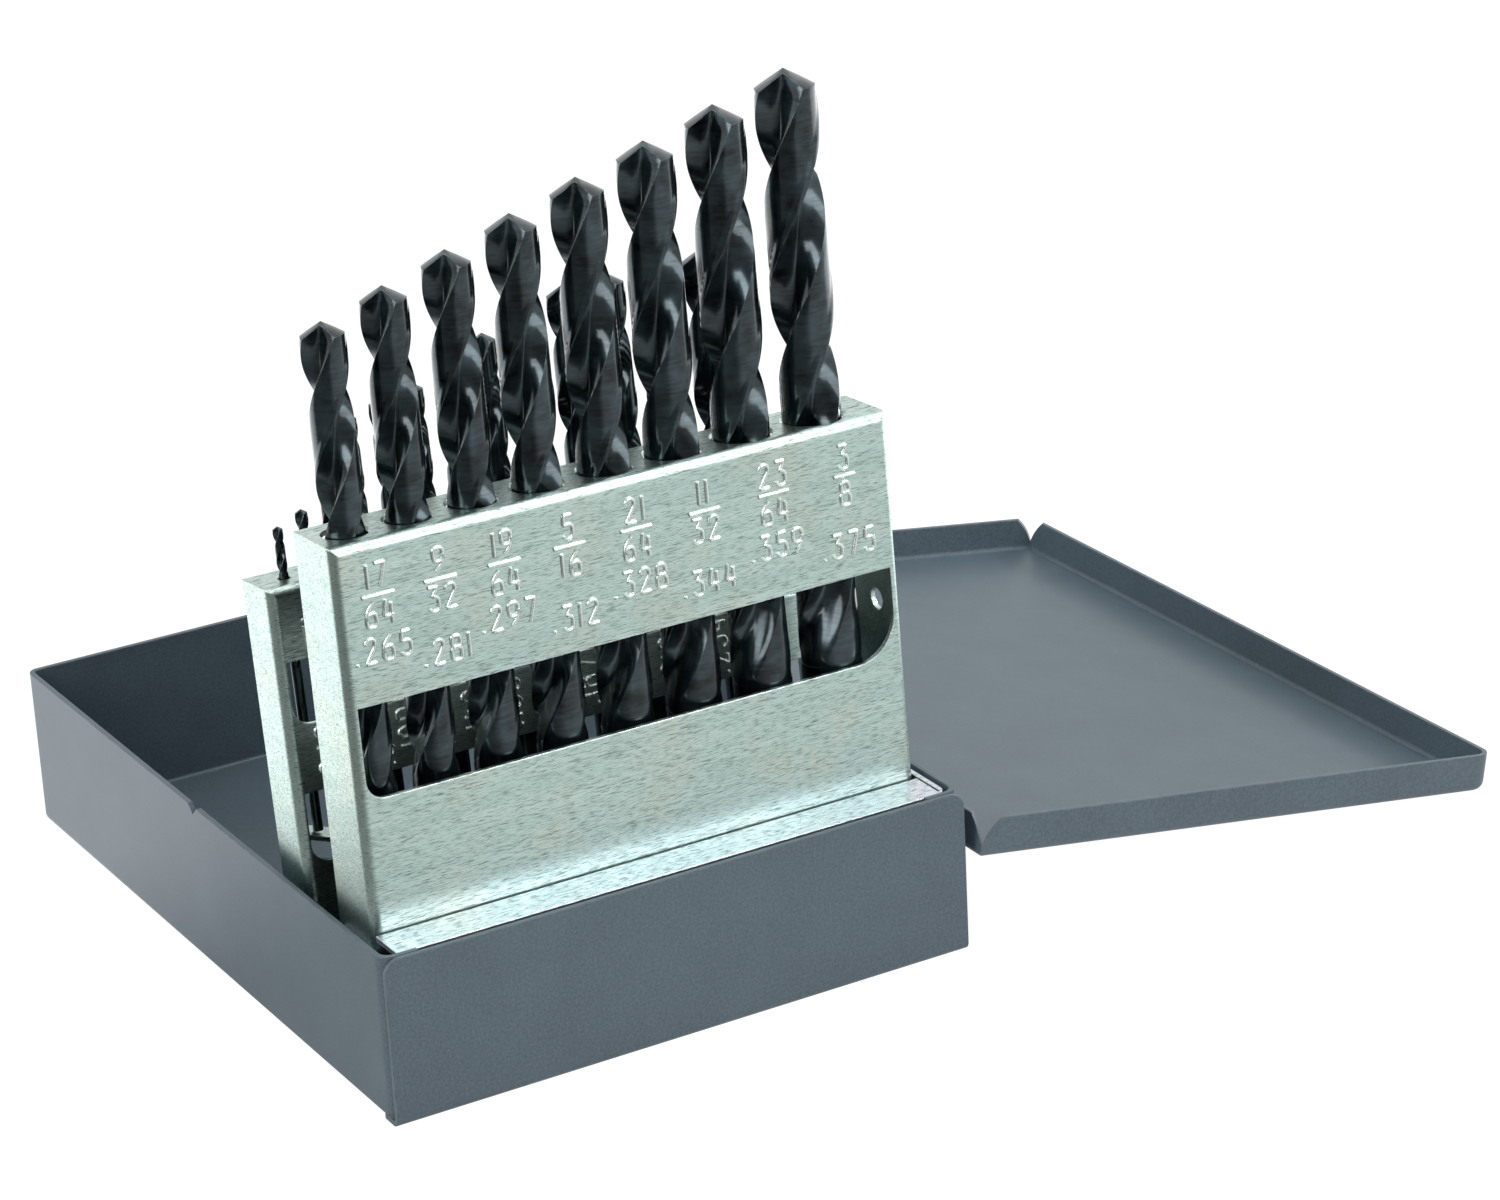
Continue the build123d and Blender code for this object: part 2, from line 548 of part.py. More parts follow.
def shelf(face, depth, top_line, tabbed_ends):
    """A shelf between a rack's end flanges, folded from sheet along a line of points."""
    front = face.offset(-RACK_BEND)  # clear of the folds between the rack's face and its ends
    with BuildSketch(front) as fold:
        with BuildLine():
            lower = [(x, y - RACK_SHEET) for x, y in reversed(top_line)]
            Polyline(*top_line, *lower, top_line[0])
        make_face()
    extrude(fold.sketch, amount=-(depth - RACK_BEND))
    for x, y, inward in tabbed_ends:
        with BuildSketch(front) as tab:
            with Locations((x + inward * RACK_SHEET / 2, y + SHELF_TAB / 2 - RACK_SHEET / 2)):
                Rectangle(RACK_SHEET, SHELF_TAB + RACK_SHEET)
        extrude(tab.sketch, amount=-(depth - RACK_BEND))


with BuildPart() as front_shelf:
    left_end = (SHELF_LEFT, -FRONT_TOP_OVER_FLOOR)
    right_end = (SHELF_RIGHT, -FRONT_TOP_OVER_FLOOR)
    shelf(front_face, FRONT_RACK_DEPTH, [left_end, right_end], [(*left_end, 1), (*right_end, -1)])
write(front_shelf.part, "front_shelf")

with BuildPart() as rear_shelf:
    high_end = (SHELF_LEFT, -rear_shelf_below(SHELF_LEFT))
    slope_end = (REAR_PLACES[LAST_REAR_64THS], -REAR_SHELF_LOW)
    low_end = (SHELF_RIGHT, -REAR_SHELF_LOW)
    # no tab at the low end, where the pivot rivet's head is
    shelf(rear_face, REAR_RACK_DEPTH, [high_end, slope_end, low_end], [(*high_end, 1)])
write(rear_shelf.part, "rear_shelf")


# ---- drills ----
def drill_name(sixty_fourths):
    """A drill's node name, from its size as a fraction of an inch in lowest terms."""
    top, bottom = sixty_fourths, 64
    while top % 2 == 0:
        top //= 2
        bottom //= 2
    return f"drill_{top}_{bottom}_inch"


def fluted_ring(plane, radius, turn):
    """The corners of a fluted section turned by this angle: two lands and the web between them."""
    corners = []
    for side in (0, 180):
        for angle in (-LAND_HALF_ANGLE, 0, LAND_HALF_ANGLE):
            corners.append((radius, turn + side + angle))
        corners.append((radius * WEB_SHARE, turn + side + 90))
    return [plane.from_local_coords(Vector(r, 0, 0).rotate(Axis.Z, angle)) for r, angle in corners]


def fluted_body(base, radius, height, point):
    """A right-hand twisted body with two helical flutes, in flat facets, ending in its point."""
    lead = 2 * pi * radius / tan(radians(HELIX_ANGLE))
    twist = 360 * height / lead
    steps = ceil(twist / FLUTE_FACET)
    rings = []
    for step in range(steps + 1):
        rings.append(fluted_ring(base.offset(height * step / steps), radius, twist * step / steps))
    facets = [Face(Wire.make_polygon(rings[0]))]
    tip = base.from_local_coords(Vector(0, 0, height + point))
    for lower, upper in zip(rings, rings[1:]):
        for index, start in enumerate(lower):
            following = (index + 1) % len(lower)
            facets.append(Face(Wire.make_polygon([start, lower[following], upper[index]])))
            facets.append(
                Face(Wire.make_polygon([lower[following], upper[following], upper[index]]))
            )
    for index, start in enumerate(rings[-1]):
        following = rings[-1][(index + 1) % len(rings[-1])]
        facets.append(Face(Wire.make_polygon([start, following, tip])))
    return Solid(Shell(facets))


def make_drill(size, face, depth, x, seat_below):
    """One drill, standing on its round shank with its flutes and its point above."""
    length = JOBBER_EIGHTHS[size - SMALLEST_64THS] * INCH / 8
    flutes = FLUTE_SIXTEENTHS[size - SMALLEST_64THS] * INCH / 16
    radius = diameter(size) / 2
    point = radius / tan(radians(POINT_ANGLE / 2))
    seat = face.origin - face.z_dir * depth / 2 - face.y_dir * (seat_below - SEAT_GAP)
    base = Plane(origin=seat + Vector(x, 0, 0), x_dir=(1, 0, 0), z_dir=face.y_dir)
    with BuildPart() as drill:
        with BuildSketch(base):
            Circle(radius)
        extrude(amount=length - flutes)
        add(fluted_body(base.offset(length - flutes), radius * BODY_SHARE, flutes - point, point))
    write(drill.part, drill_name(size))


for size, x in REAR_PLACES.items():
    uphill = rear_shelf_below(x - diameter(size) / 2)
    make_drill(size, rear_face, REAR_RACK_DEPTH, x, uphill)
for size, x in FRONT_PLACES.items():
    make_drill(size, front_face, FRONT_RACK_DEPTH, x, FRONT_TOP_OVER_FLOOR)
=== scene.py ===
"""A steel index case for 21 jobber drills, dressed on its CAD frame.

The frame gives every solid its place. This script gives the painted tray and lid, the
zinc-plated cradle and racks and the hinge their finishes, stamps the sizes into the racks, and
puts ground twist drills in place of the frame's plain-facetted ones. Sizes are in millimetres
until a mesh is made, and then in metres.
"""

import logging
import math
from dataclasses import dataclass, field
from enum import Enum
from typing import Any

import bpy
from mathutils import Matrix, Vector


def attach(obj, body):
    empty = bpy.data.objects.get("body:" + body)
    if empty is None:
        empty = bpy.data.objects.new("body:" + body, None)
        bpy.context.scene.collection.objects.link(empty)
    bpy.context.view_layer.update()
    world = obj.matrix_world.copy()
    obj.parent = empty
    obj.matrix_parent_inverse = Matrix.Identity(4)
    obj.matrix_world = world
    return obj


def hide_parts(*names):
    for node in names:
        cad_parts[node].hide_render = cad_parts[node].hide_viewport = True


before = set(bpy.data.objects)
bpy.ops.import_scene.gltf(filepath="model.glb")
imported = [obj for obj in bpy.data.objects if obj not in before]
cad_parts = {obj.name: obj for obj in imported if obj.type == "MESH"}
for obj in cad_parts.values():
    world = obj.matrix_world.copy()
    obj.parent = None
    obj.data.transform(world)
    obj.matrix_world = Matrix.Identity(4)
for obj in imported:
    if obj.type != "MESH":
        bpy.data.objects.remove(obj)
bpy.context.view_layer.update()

LOG = logging.getLogger("drill_index")
MM = 0.001
INCH = 25.4
RADIUS_STEP = INCH / 128  # a drill's radius for each 64th of an inch across


# ---- small helpers ---------------------------------------


def linear(colour: str) -> tuple[float, float, float, float]:
    """Turn an sRGB hex colour into the linear values that Blender's sockets hold.

    Args:
        colour: Six hex digits after a hash sign.

    Returns:
        Linear red, green and blue, and an alpha of 1.
    """
    parts = [int(colour[i : i + 2], 16) / 255 for i in (1, 3, 5)]
    red, green, blue = [c / 12.92 if c <= 0.04045 else ((c + 0.055) / 1.055) ** 2.4 for c in parts]
    return red, green, blue, 1.0


def add_node(tree: Any, kind: str, inputs: dict[Any, Any] | None = None, **settings: Any) -> Any:
    """Add one node with its settings, its values and its links.

    Args:
        tree: The shader or geometry tree that the node goes into.
        kind: The node's type name.
        inputs: Values or output sockets by the input's name or number.
        settings: Attributes of the node, such as operation or blend_type.

    Returns:
        The new node.
    """
    node = tree.nodes.new(kind)
    for name, value in settings.items():
        setattr(node, name, value)
    for key, value in (inputs or {}).items():
        if isinstance(value, bpy.types.NodeSocket):
            tree.links.new(value, node.inputs[key])
        else:
            node.inputs[key].default_value = value
    return node


def sums(tree: Any, operation: str, *values: Any) -> Any:
    """One sum of a shader or geometry tree, such as MULTIPLY, on numbers and sockets."""
    return add_node(tree, "ShaderNodeMath", dict(enumerate(values)), operation=operation).outputs[0]


def vectors(tree: Any, operation: str, *values: Any, scale: Any = None) -> Any:
    """One vector sum, such as DOT_PRODUCT, on vectors and sockets. It gives all its outputs."""
    inputs = dict(enumerate(values)) | ({} if scale is None else {"Scale": scale})
    return add_node(tree, "ShaderNodeVectorMath", inputs, operation=operation).outputs


def mapped(
    tree: Any, value: Any, given: tuple = (0.0, 1.0), made: tuple = (0.0, 1.0), **settings: Any
) -> Any:
    """Map a value from one range to another, held inside it.

    Args:
        tree: The shader or geometry tree.
        value: The value's socket.
        given: The range that it comes in, as numbers or sockets.
        made: The range that it leaves in, likewise.
        settings: Attributes of the node.

    Returns:
        The mapped value's socket.
    """
    ends = {"From Min": given[0], "From Max": given[1], "To Min": made[0], "To Max": made[1]}
    return add_node(tree, "ShaderNodeMapRange", {"Value": value, **ends}, **settings).outputs[0]


# ---- finishes --------------------------------------------


class Slot(Enum):
    """The record's material slots."""

    PAINT = "painted_case"
    ZINC = "zinc_sheet"
    PIN = "pin_steel"
    OXIDE = "black_oxide"


def new_material(name: str) -> tuple[Any, Any, Any, Any]:
    """Start a node material.

    Args:
        name: The material's name.

    Returns:
        The material, its tree, its Principled shader and the object coordinates' socket.
    """
    material = bpy.data.materials.new(name)
    material.use_nodes = True
    tree = material.node_tree
    shader = tree.nodes["Principled BSDF"]
    place = add_node(tree, "ShaderNodeTexCoord").outputs["Object"]
    return material, tree, shader, place


def grain(tree: Any, place: Any, size_mm: float, detail: float, **more: float) -> Any:
    """Noise whose patches are about so many millimetres wide.

    Args:
        tree: The material's tree.
        place: The coordinates' socket, in metres.
        size_mm: The size of one patch.
        detail: How many finer layers the noise has.
        more: Other inputs of the noise by name.

    Returns:
        The noise's value socket.
    """
    inputs = {"Vector": place, "Scale": 1 / (size_mm * MM), "Detail": detail, **more}
    return add_node(tree, "ShaderNodeTexNoise", inputs).outputs["Fac"]


def tinted(tree: Any, share: Any, under: Any, over: Any) -> Any:
    """Mix two colours.

    Args:
        tree: The material's tree.
        share: The socket that says how much of the second colour shows.
        under: The first colour, as a hex string or a socket.
        over: The second colour, likewise.

    Returns:
        The mixed colour's socket.
    """
    under, over = (linear(c) if isinstance(c, str) else c for c in (under, over))
    inputs = {"Factor": share, 6: under, 7: over}
    return add_node(tree, "ShaderNodeMix", inputs, data_type="RGBA").outputs[2]


# most of a noise's values lie in this span
NOISE_SPAN = (0.3, 0.7)
# how far the rounded normal has to turn from the flat one for an edge to show, as their cosine
FOLD_SPAN = (0.995, 0.86)
WEAR_PATCH_MM = 2.5
WEAR_BREAKS = (0.42, 0.62)


def edge_wear(tree: Any, radius_mm: float, place: Any) -> tuple[Any, Any]:
    """A mask of a piece's folds and cut edges, broken up by noise.

    Args:
        tree: The material's tree.
        radius_mm: How far from the edge the wear reaches.
        place: The object coordinates' socket.

    Returns:
        A socket that is 1 where the finish is rubbed and 0 elsewhere, and the rounded normal's.
    """
    rounded = add_node(tree, "ShaderNodeBevel", {"Radius": radius_mm * MM}, samples=4)
    flat = add_node(tree, "ShaderNodeNewGeometry")
    across = vectors(tree, "DOT_PRODUCT", rounded.outputs[0], flat.outputs["Normal"])["Value"]
    near = mapped(tree, across, FOLD_SPAN)
    broken = mapped(tree, grain(tree, place, WEAR_PATCH_MM, 4.0), WEAR_BREAKS)
    return sums(tree, "MULTIPLY", near, broken), rounded.outputs[0]


@dataclass(frozen=True)
class Surface:
    """What lies over a finish's own colour: rubbed edges, roughness and fine relief."""

    rubbed: str
    wear_mm: float
    rough_low: float  # what the roughness changes by at the low end of its noise
    rough_high: float  # and at the high end
    bump: float
    depth_mm: float

    def rough(
        self, tree: Any, noise: Any, roughness: float, span: tuple[float, float] = NOISE_SPAN
    ) -> Any:
        """Vary the roughness with a noise.

        Args:
            tree: The material's tree.
            noise: The noise's socket.
            roughness: The finish's roughness.
            span: The noise's values that the whole change is spread over.

        Returns:
            The roughness socket.
        """
        return mapped(tree, noise, span, (roughness + self.rough_low, roughness + self.rough_high))

    def lay(self, tree: Any, shader: Any, place: Any, colour: Any, rough: Any, relief: Any) -> None:
        """Link the surface into a shader.

        Args:
            tree: The material's tree.
            shader: Its Principled shader.
            place: The object coordinates' socket.
            colour: The finish's colour socket.
            rough: The roughness socket.
            relief: The socket whose value is the relief's height.
        """
        worn, soft_edge = edge_wear(tree, self.wear_mm, place)
        bump = add_node(
            tree,
            "ShaderNodeBump",
            {
                "Strength": self.bump,
                "Distance": self.depth_mm * MM,
                "Height": relief,
                "Normal": soft_edge,
            },
        )
        tree.links.new(tinted(tree, worn, colour, self.rubbed), shader.inputs["Base Color"])
        tree.links.new(rough, shader.inputs["Roughness"])
        tree.links.new(bump.outputs[0], shader.inputs["Normal"])


@dataclass(frozen=True)
class StovedEnamel:
    """Baked enamel sprayed on sheet steel: satin, a little mottled, with fine orange peel.

    The peel, 0.9 mm wide, breaks up the long highlights along the bends. The mottle, 9 mm wide,
    keeps the broad walls from looking like plain card, and the specks, 0.45 mm wide, make them
    look sprayed. The edges show a paler line where handling has rubbed them.
    """

    name: str = "stoved_enamel_on_steel"
    light: str = "#65757F"
    dark: str = "#53626C"
    roughness: float = 0.44
    peel_mm: float = 0.9  # real peel is nearer 0.4 mm, drawn coarser so that it shows
    speck_mm: float = 0.45
    mottle_mm: float = 9.0
    mottle_share: float = 0.3
    shades: tuple[float, float] = (0.45, 0.85)  # the blend's values from dark to light
    surface: Surface = Surface(
        "#7C8791", wear_mm=0.35, rough_low=-0.05, rough_high=0.07, bump=0.10, depth_mm=0.05
    )

    def make(self) -> Any:
        """Build the material and give it."""
        material, tree, shader, place = new_material(self.name)
        mottle = grain(tree, place, self.mottle_mm, 3.0)
        specks = grain(tree, place, self.speck_mm, 2.0)
        blend = sums(tree, "MULTIPLY_ADD", mottle, self.mottle_share, specks)
        colour = tinted(tree, mapped(tree, blend, self.shades), self.dark, self.light)
        rough = self.surface.rough(tree, specks, self.roughness)
        peel = grain(tree, place, self.peel_mm, 1.0)
        self.surface.lay(tree, shader, place, colour, rough, peel)
        return material


@dataclass(frozen=True)
class ZincPlate:
    """Cold-rolled steel with clear-passivated zinc: pale grey-green metal with a rolled grain.

    The grain runs along X, the way the sheet was rolled, in fine dark streaks 0.1 mm by 1.7 mm
    that the plating only half hides. Clouds of green 1.6 mm wide and patches of warm grey 11 mm
    wide keep the metal from looking like one flat mirror.
    """

    name: str = "zinc_plated_cold_rolled_steel"
    pale: str = "#D2E4DF"
    green: str = "#AAC3BC"
    warm: str = "#C6D0C3"
    streak: str = "#6C7F78"
    roughness: float = 0.30
    streak_mm: float = 0.10  # height of one streak
    streak_length_mm: float = 1.7
    end_stretch: float = 0.25  # makes the streaks 0.4 mm long on the end flanges
    cloud_mm: float = 1.6
    patch_mm: float = 11.0
    patch_span: tuple[float, float] = (0.5, 0.75)
    patch_most: float = 0.7
    streak_span: tuple[float, float] = (0.50, 0.34)
    streak_break: float = 0.6
    surface: Surface = Surface(
        "#E4ECEA", wear_mm=0.3, rough_low=0.12, rough_high=-0.06, bump=0.30, depth_mm=0.04
    )

    def make(self) -> Any:
        """Build the material and give it."""
        material, tree, shader, place = new_material(self.name)
        squeeze = (self.streak_mm / self.streak_length_mm, self.end_stretch, 1.0)
        rolled = add_node(tree, "ShaderNodeMapping", {"Vector": place, "Scale": squeeze}).outputs[0]
        streaks = grain(tree, rolled, self.streak_mm, 3.0, Roughness=self.streak_break)
        clouds = grain(tree, rolled, self.cloud_mm, 3.0)
        patches = grain(tree, place, self.patch_mm, 2.0)
        plated = tinted(tree, clouds, self.green, self.pale)
        yellowed = mapped(tree, patches, self.patch_span, (0.0, self.patch_most))
        passivated = tinted(tree, yellowed, plated, self.warm)
        colour = tinted(tree, mapped(tree, streaks, self.streak_span), passivated, self.streak)
        rough = self.surface.rough(tree, streaks, self.roughness)
        shader.inputs["Metallic"].default_value = 1.0
        self.surface.lay(tree, shader, place, colour, rough, streaks)
        return material


@dataclass(frozen=True)
class DrawnPin:
    """Cold-drawn steel wire: bright, with scuffs 0.8 mm wide that dull it in places.

    Its ends and heads are brighter at the edges, where they have been rubbed.
    """

    name: str = "cold_drawn_steel_wire"
    light: str = "#C2C6C8"
    dark: str = "#8B9094"
    roughness: float = 0.3
    scuff_mm: float = 0.8
    surface: Surface = Surface(
        "#DADDDE", wear_mm=0.1, rough_low=-0.08, rough_high=0.16, bump=0.15, depth_mm=0.02
    )

    def make(self) -> Any:
        """Build the material and give it."""
        material, tree, shader, place = new_material(self.name)
        scuffs = grain(tree, place, self.scuff_mm, 4.0)
        colour = tinted(tree, scuffs, self.dark, self.light)
        rough = self.surface.rough(tree, scuffs, self.roughness, (0.0, 1.0))
        shader.inputs["Metallic"].default_value = 1.0
        self.surface.lay(tree, shader, place, colour, rough, scuffs)
        return material


@dataclass(frozen=True)
class SteamOxide:
    """Ground high-speed steel with a steam-tempered black oxide: blue-black and oily bright.

    The oxide follows the grinding lines round the drill, 0.35 mm apart, so its highlights are
    long and a little ragged. Its bloom, 4 mm wide, shifts it between black and blue-grey.
    """

    name: str = "black_oxide_high_speed_steel"
    light: str = "#3F5056"
    dark: str = "#12191C"
    roughness: float = 0.17
    grind_mm: float = 0.35
    grind_share: float = 0.5
    round_stretch: float = 0.12  # under 1, so that the lines run round the drill
    bloom_mm: float = 4.0
    metal: float = 0.75
    oil: float = 0.5  # how much of the film of oil is left
    oil_roughness: float = 0.13
    shades: tuple[float, float] = (0.55, 1.0)  # the blend's values from dark to light
    surface: Surface = Surface(
        "#7C878B", wear_mm=0.12, rough_low=-0.05, rough_high=0.09, bump=0.12, depth_mm=0.02
    )

    def make(self) -> Any:
        """Build the material and give it."""
        material, tree, shader, place = new_material(self.name)
        squeeze = (self.round_stretch, self.round_stretch, 1.0)
        rings = add_node(tree, "ShaderNodeMapping", {"Vector": place, "Scale": squeeze}).outputs[0]
        grinding = grain(tree, rings, self.grind_mm, 3.0)
        bloom = grain(tree, place, self.bloom_mm, 4.0)
        blend = sums(tree, "MULTIPLY_ADD", grinding, self.grind_share, bloom)
        colour = tinted(tree, mapped(tree, blend, self.shades), self.dark, self.light)
        rough = self.surface.rough(tree, bloom, self.roughness)
        shader.inputs["Metallic"].default_value = self.metal
        shader.inputs["Coat Weight"].default_value = self.oil
        shader.inputs["Coat Roughness"].default_value = self.oil_roughness
        self.surface.lay(tree, shader, place, colour, rough, grinding)
        return material


@dataclass
class Finishes:
    """One material for each slot, made once."""

    made: dict[Slot, Any] = field(default_factory=dict)
    # the cradle's zinc, paled and blued as painted light
    pale_zinc_painted_light: Any = None
    # the figures' zinc: smoother than the rack's, and paler as a painted highlight on the raised
    # strokes
    smooth_zinc_with_painted_highlight: Any = None

    def build(self) -> None:
        """Make every finish."""
        self.made = {
            Slot.PAINT: StovedEnamel().make(),
            Slot.ZINC: ZincPlate().make(),
            Slot.PIN: DrawnPin().make(),
            Slot.OXIDE: SteamOxide().make(),
        }
        # The figures get a smoother zinc whose pale colours are a painted highlight, so the raised
        # strokes read as catching the light.
        self.smooth_zinc_with_painted_highlight = ZincPlate(
            name="burnished_zinc_on_figures",
            pale="#EDF5F3",
            green="#DCE7E3",
            warm="#E6EAE4",
            streak="#C6D3CE",
            roughness=0.2,
        ).make()
        # A paler, bluer copy of the zinc for the cradle: the difference is painted light, for the
        # bright bluish-white top of its strip.
        self.pale_zinc_painted_light = ZincPlate(
            name="fresh_zinc_on_cradle_steel",
            pale="#E8EBF3",
            green="#CBD2DC",
            warm="#D9DDE2",
            streak="#8C969E",
        ).make()

    def coat(self, piece: Any, slot: Slot, lit_copy: bool = False) -> None:
        """Give a piece the finish of one slot.

        Args:
            piece: The Blender object.
            slot: Which finish.
            lit_copy: True for the cradle's zinc, a paler, bluer copy whose difference is painted
                light for its brightly lit top.
        """
        piece.data.materials.clear()
        # the cradle's zinc is a paler, bluer copy of the racks': painted light for its bright top
        piece.data.materials.append(self.pale_zinc_painted_light if lit_copy else self.made[slot])


# ---- racks' own frames -----------------------------------


@dataclass(frozen=True)
class RackPlace:
    """A rack's face: X runs right from its middle, Y up from its top edge and Z out of it."""

    pivot_back: float  # behind the tray's front
    pivot_height: float
    lean: float  # degrees back from upright
    face_ahead: float  # of the pivot
    top_over_pivot: float
    depth: float
    tray_front: float = -67.0

    def matrix(self) -> Matrix:
        """Place the face.

        Returns:
            The face's frame as a matrix, in metres.
        """
        lean = math.radians(self.lean)
        up = Vector((0, math.sin(lean), math.cos(lean)))
        back = Vector((0, math.cos(lean), -math.sin(lean)))
        pivot = Vector((0, self.tray_front + self.pivot_back, self.pivot_height))
        origin = (pivot - back * self.face_ahead + up * self.top_over_pivot) * MM
        across = Vector((1, 0, 0))
        rows = [[across[i], up[i], -back[i], origin[i]] for i in range(3)]
        return Matrix([*rows, [0, 0, 0, 1]])

    def drill_matrix(self, x: float, below: float) -> Matrix:
        """The frame of a drill that stands on its shank, with Z along it.

        Args:
            x: The drill's place along the rack.
            below: How far its seat is below the rack's top.

        Returns:
            The matrix, in metres.
        """
        face = self.matrix()
        seat = face @ Vector((x * MM, -below * MM, -self.depth / 2 * MM))
        turn = face.to_3x3() @ Matrix(((1, 0, 0), (0, 0, 1), (0, -1, 0)))
        return Matrix.Translation(seat) @ turn.to_4x4()


def spread(width: float, sizes: range, first: float, last: float) -> dict[int, float]:
    """The place of each drill along its rack, with even gaps between neighbours.

    Args:
        width: The rack's width.
        sizes: The row's sizes in 64ths of an inch.
        first: From the rack's left end to the first drill.
        last: From the last drill to the rack's right end.

    Returns:
        X by size.
    """
    across = {size: size * INCH / 64 for size in sizes}
    ends = (across[sizes[0]] + across[sizes[-1]]) / 2
    gap = (width - first - last - sum(across.values()) + ends) / (len(sizes) - 1)
    places = {sizes[0]: -width / 2 + first}
    for size in sizes[1:]:
        places[size] = places[size - 1] + (across[size] + across[size - 1]) / 2 + gap
    return places


def drill_name(size: int) -> str:
    """The node name of a drill of so many 64ths of an inch."""
    shared = math.gcd(size, 64)
    return f"drill_{size // shared}_{64 // shared}_inch"


# ---- geometry trees --------------------------------------


def new_geometry(
    name: str, floats: tuple[str, ...], whole: tuple[str, ...] = ()
) -> tuple[Any, Any]:
    """Start a geometry tree that takes a geometry, some numbers and a finish.

    Args:
        name: The tree's name.
        floats: The names of its decimal inputs.
        whole: The names of its whole-number inputs.

    Returns:
        The tree and its inputs' sockets.
    """
    tree = bpy.data.node_groups.new(name, "GeometryNodeTree")
    kinds = [("Geometry", "NodeSocketGeometry")]
    kinds += [(each, "NodeSocketFloat") for each in floats]
    kinds += [(each, "NodeSocketInt") for each in whole]
    kinds.append(("Finish", "NodeSocketMaterial"))
    tree.interface.new_socket("Geometry", in_out="OUTPUT", socket_type="NodeSocketGeometry")
    for each, kind in kinds:
        tree.interface.new_socket(each, in_out="INPUT", socket_type=kind)
    return tree, add_node(tree, "NodeGroupInput").outputs


def end_geometry(tree: Any, shape: Any, finish: Any) -> None:
    """Make a tree's shape real, coat it and hand it out."""
    real = add_node(tree, "GeometryNodeRealizeInstances", {0: shape})
    coated = add_node(
        tree, "GeometryNodeSetMaterial", {"Geometry": real.outputs[0], "Material": finish}
    )
    add_node(tree, "NodeGroupOutput", {0: coated.outputs[0]})


def lifted(tree: Any, shape: Any, height: Any) -> Any:
    """Move a shape up by a height's socket."""
    up = add_node(tree, "ShaderNodeCombineXYZ", {"Z": height}).outputs[0]
    inputs = {"Geometry": shape, "Translation": up}
    return add_node(tree, "GeometryNodeTransform", inputs).outputs[0]


# ---- twist drills ----------------------------------------


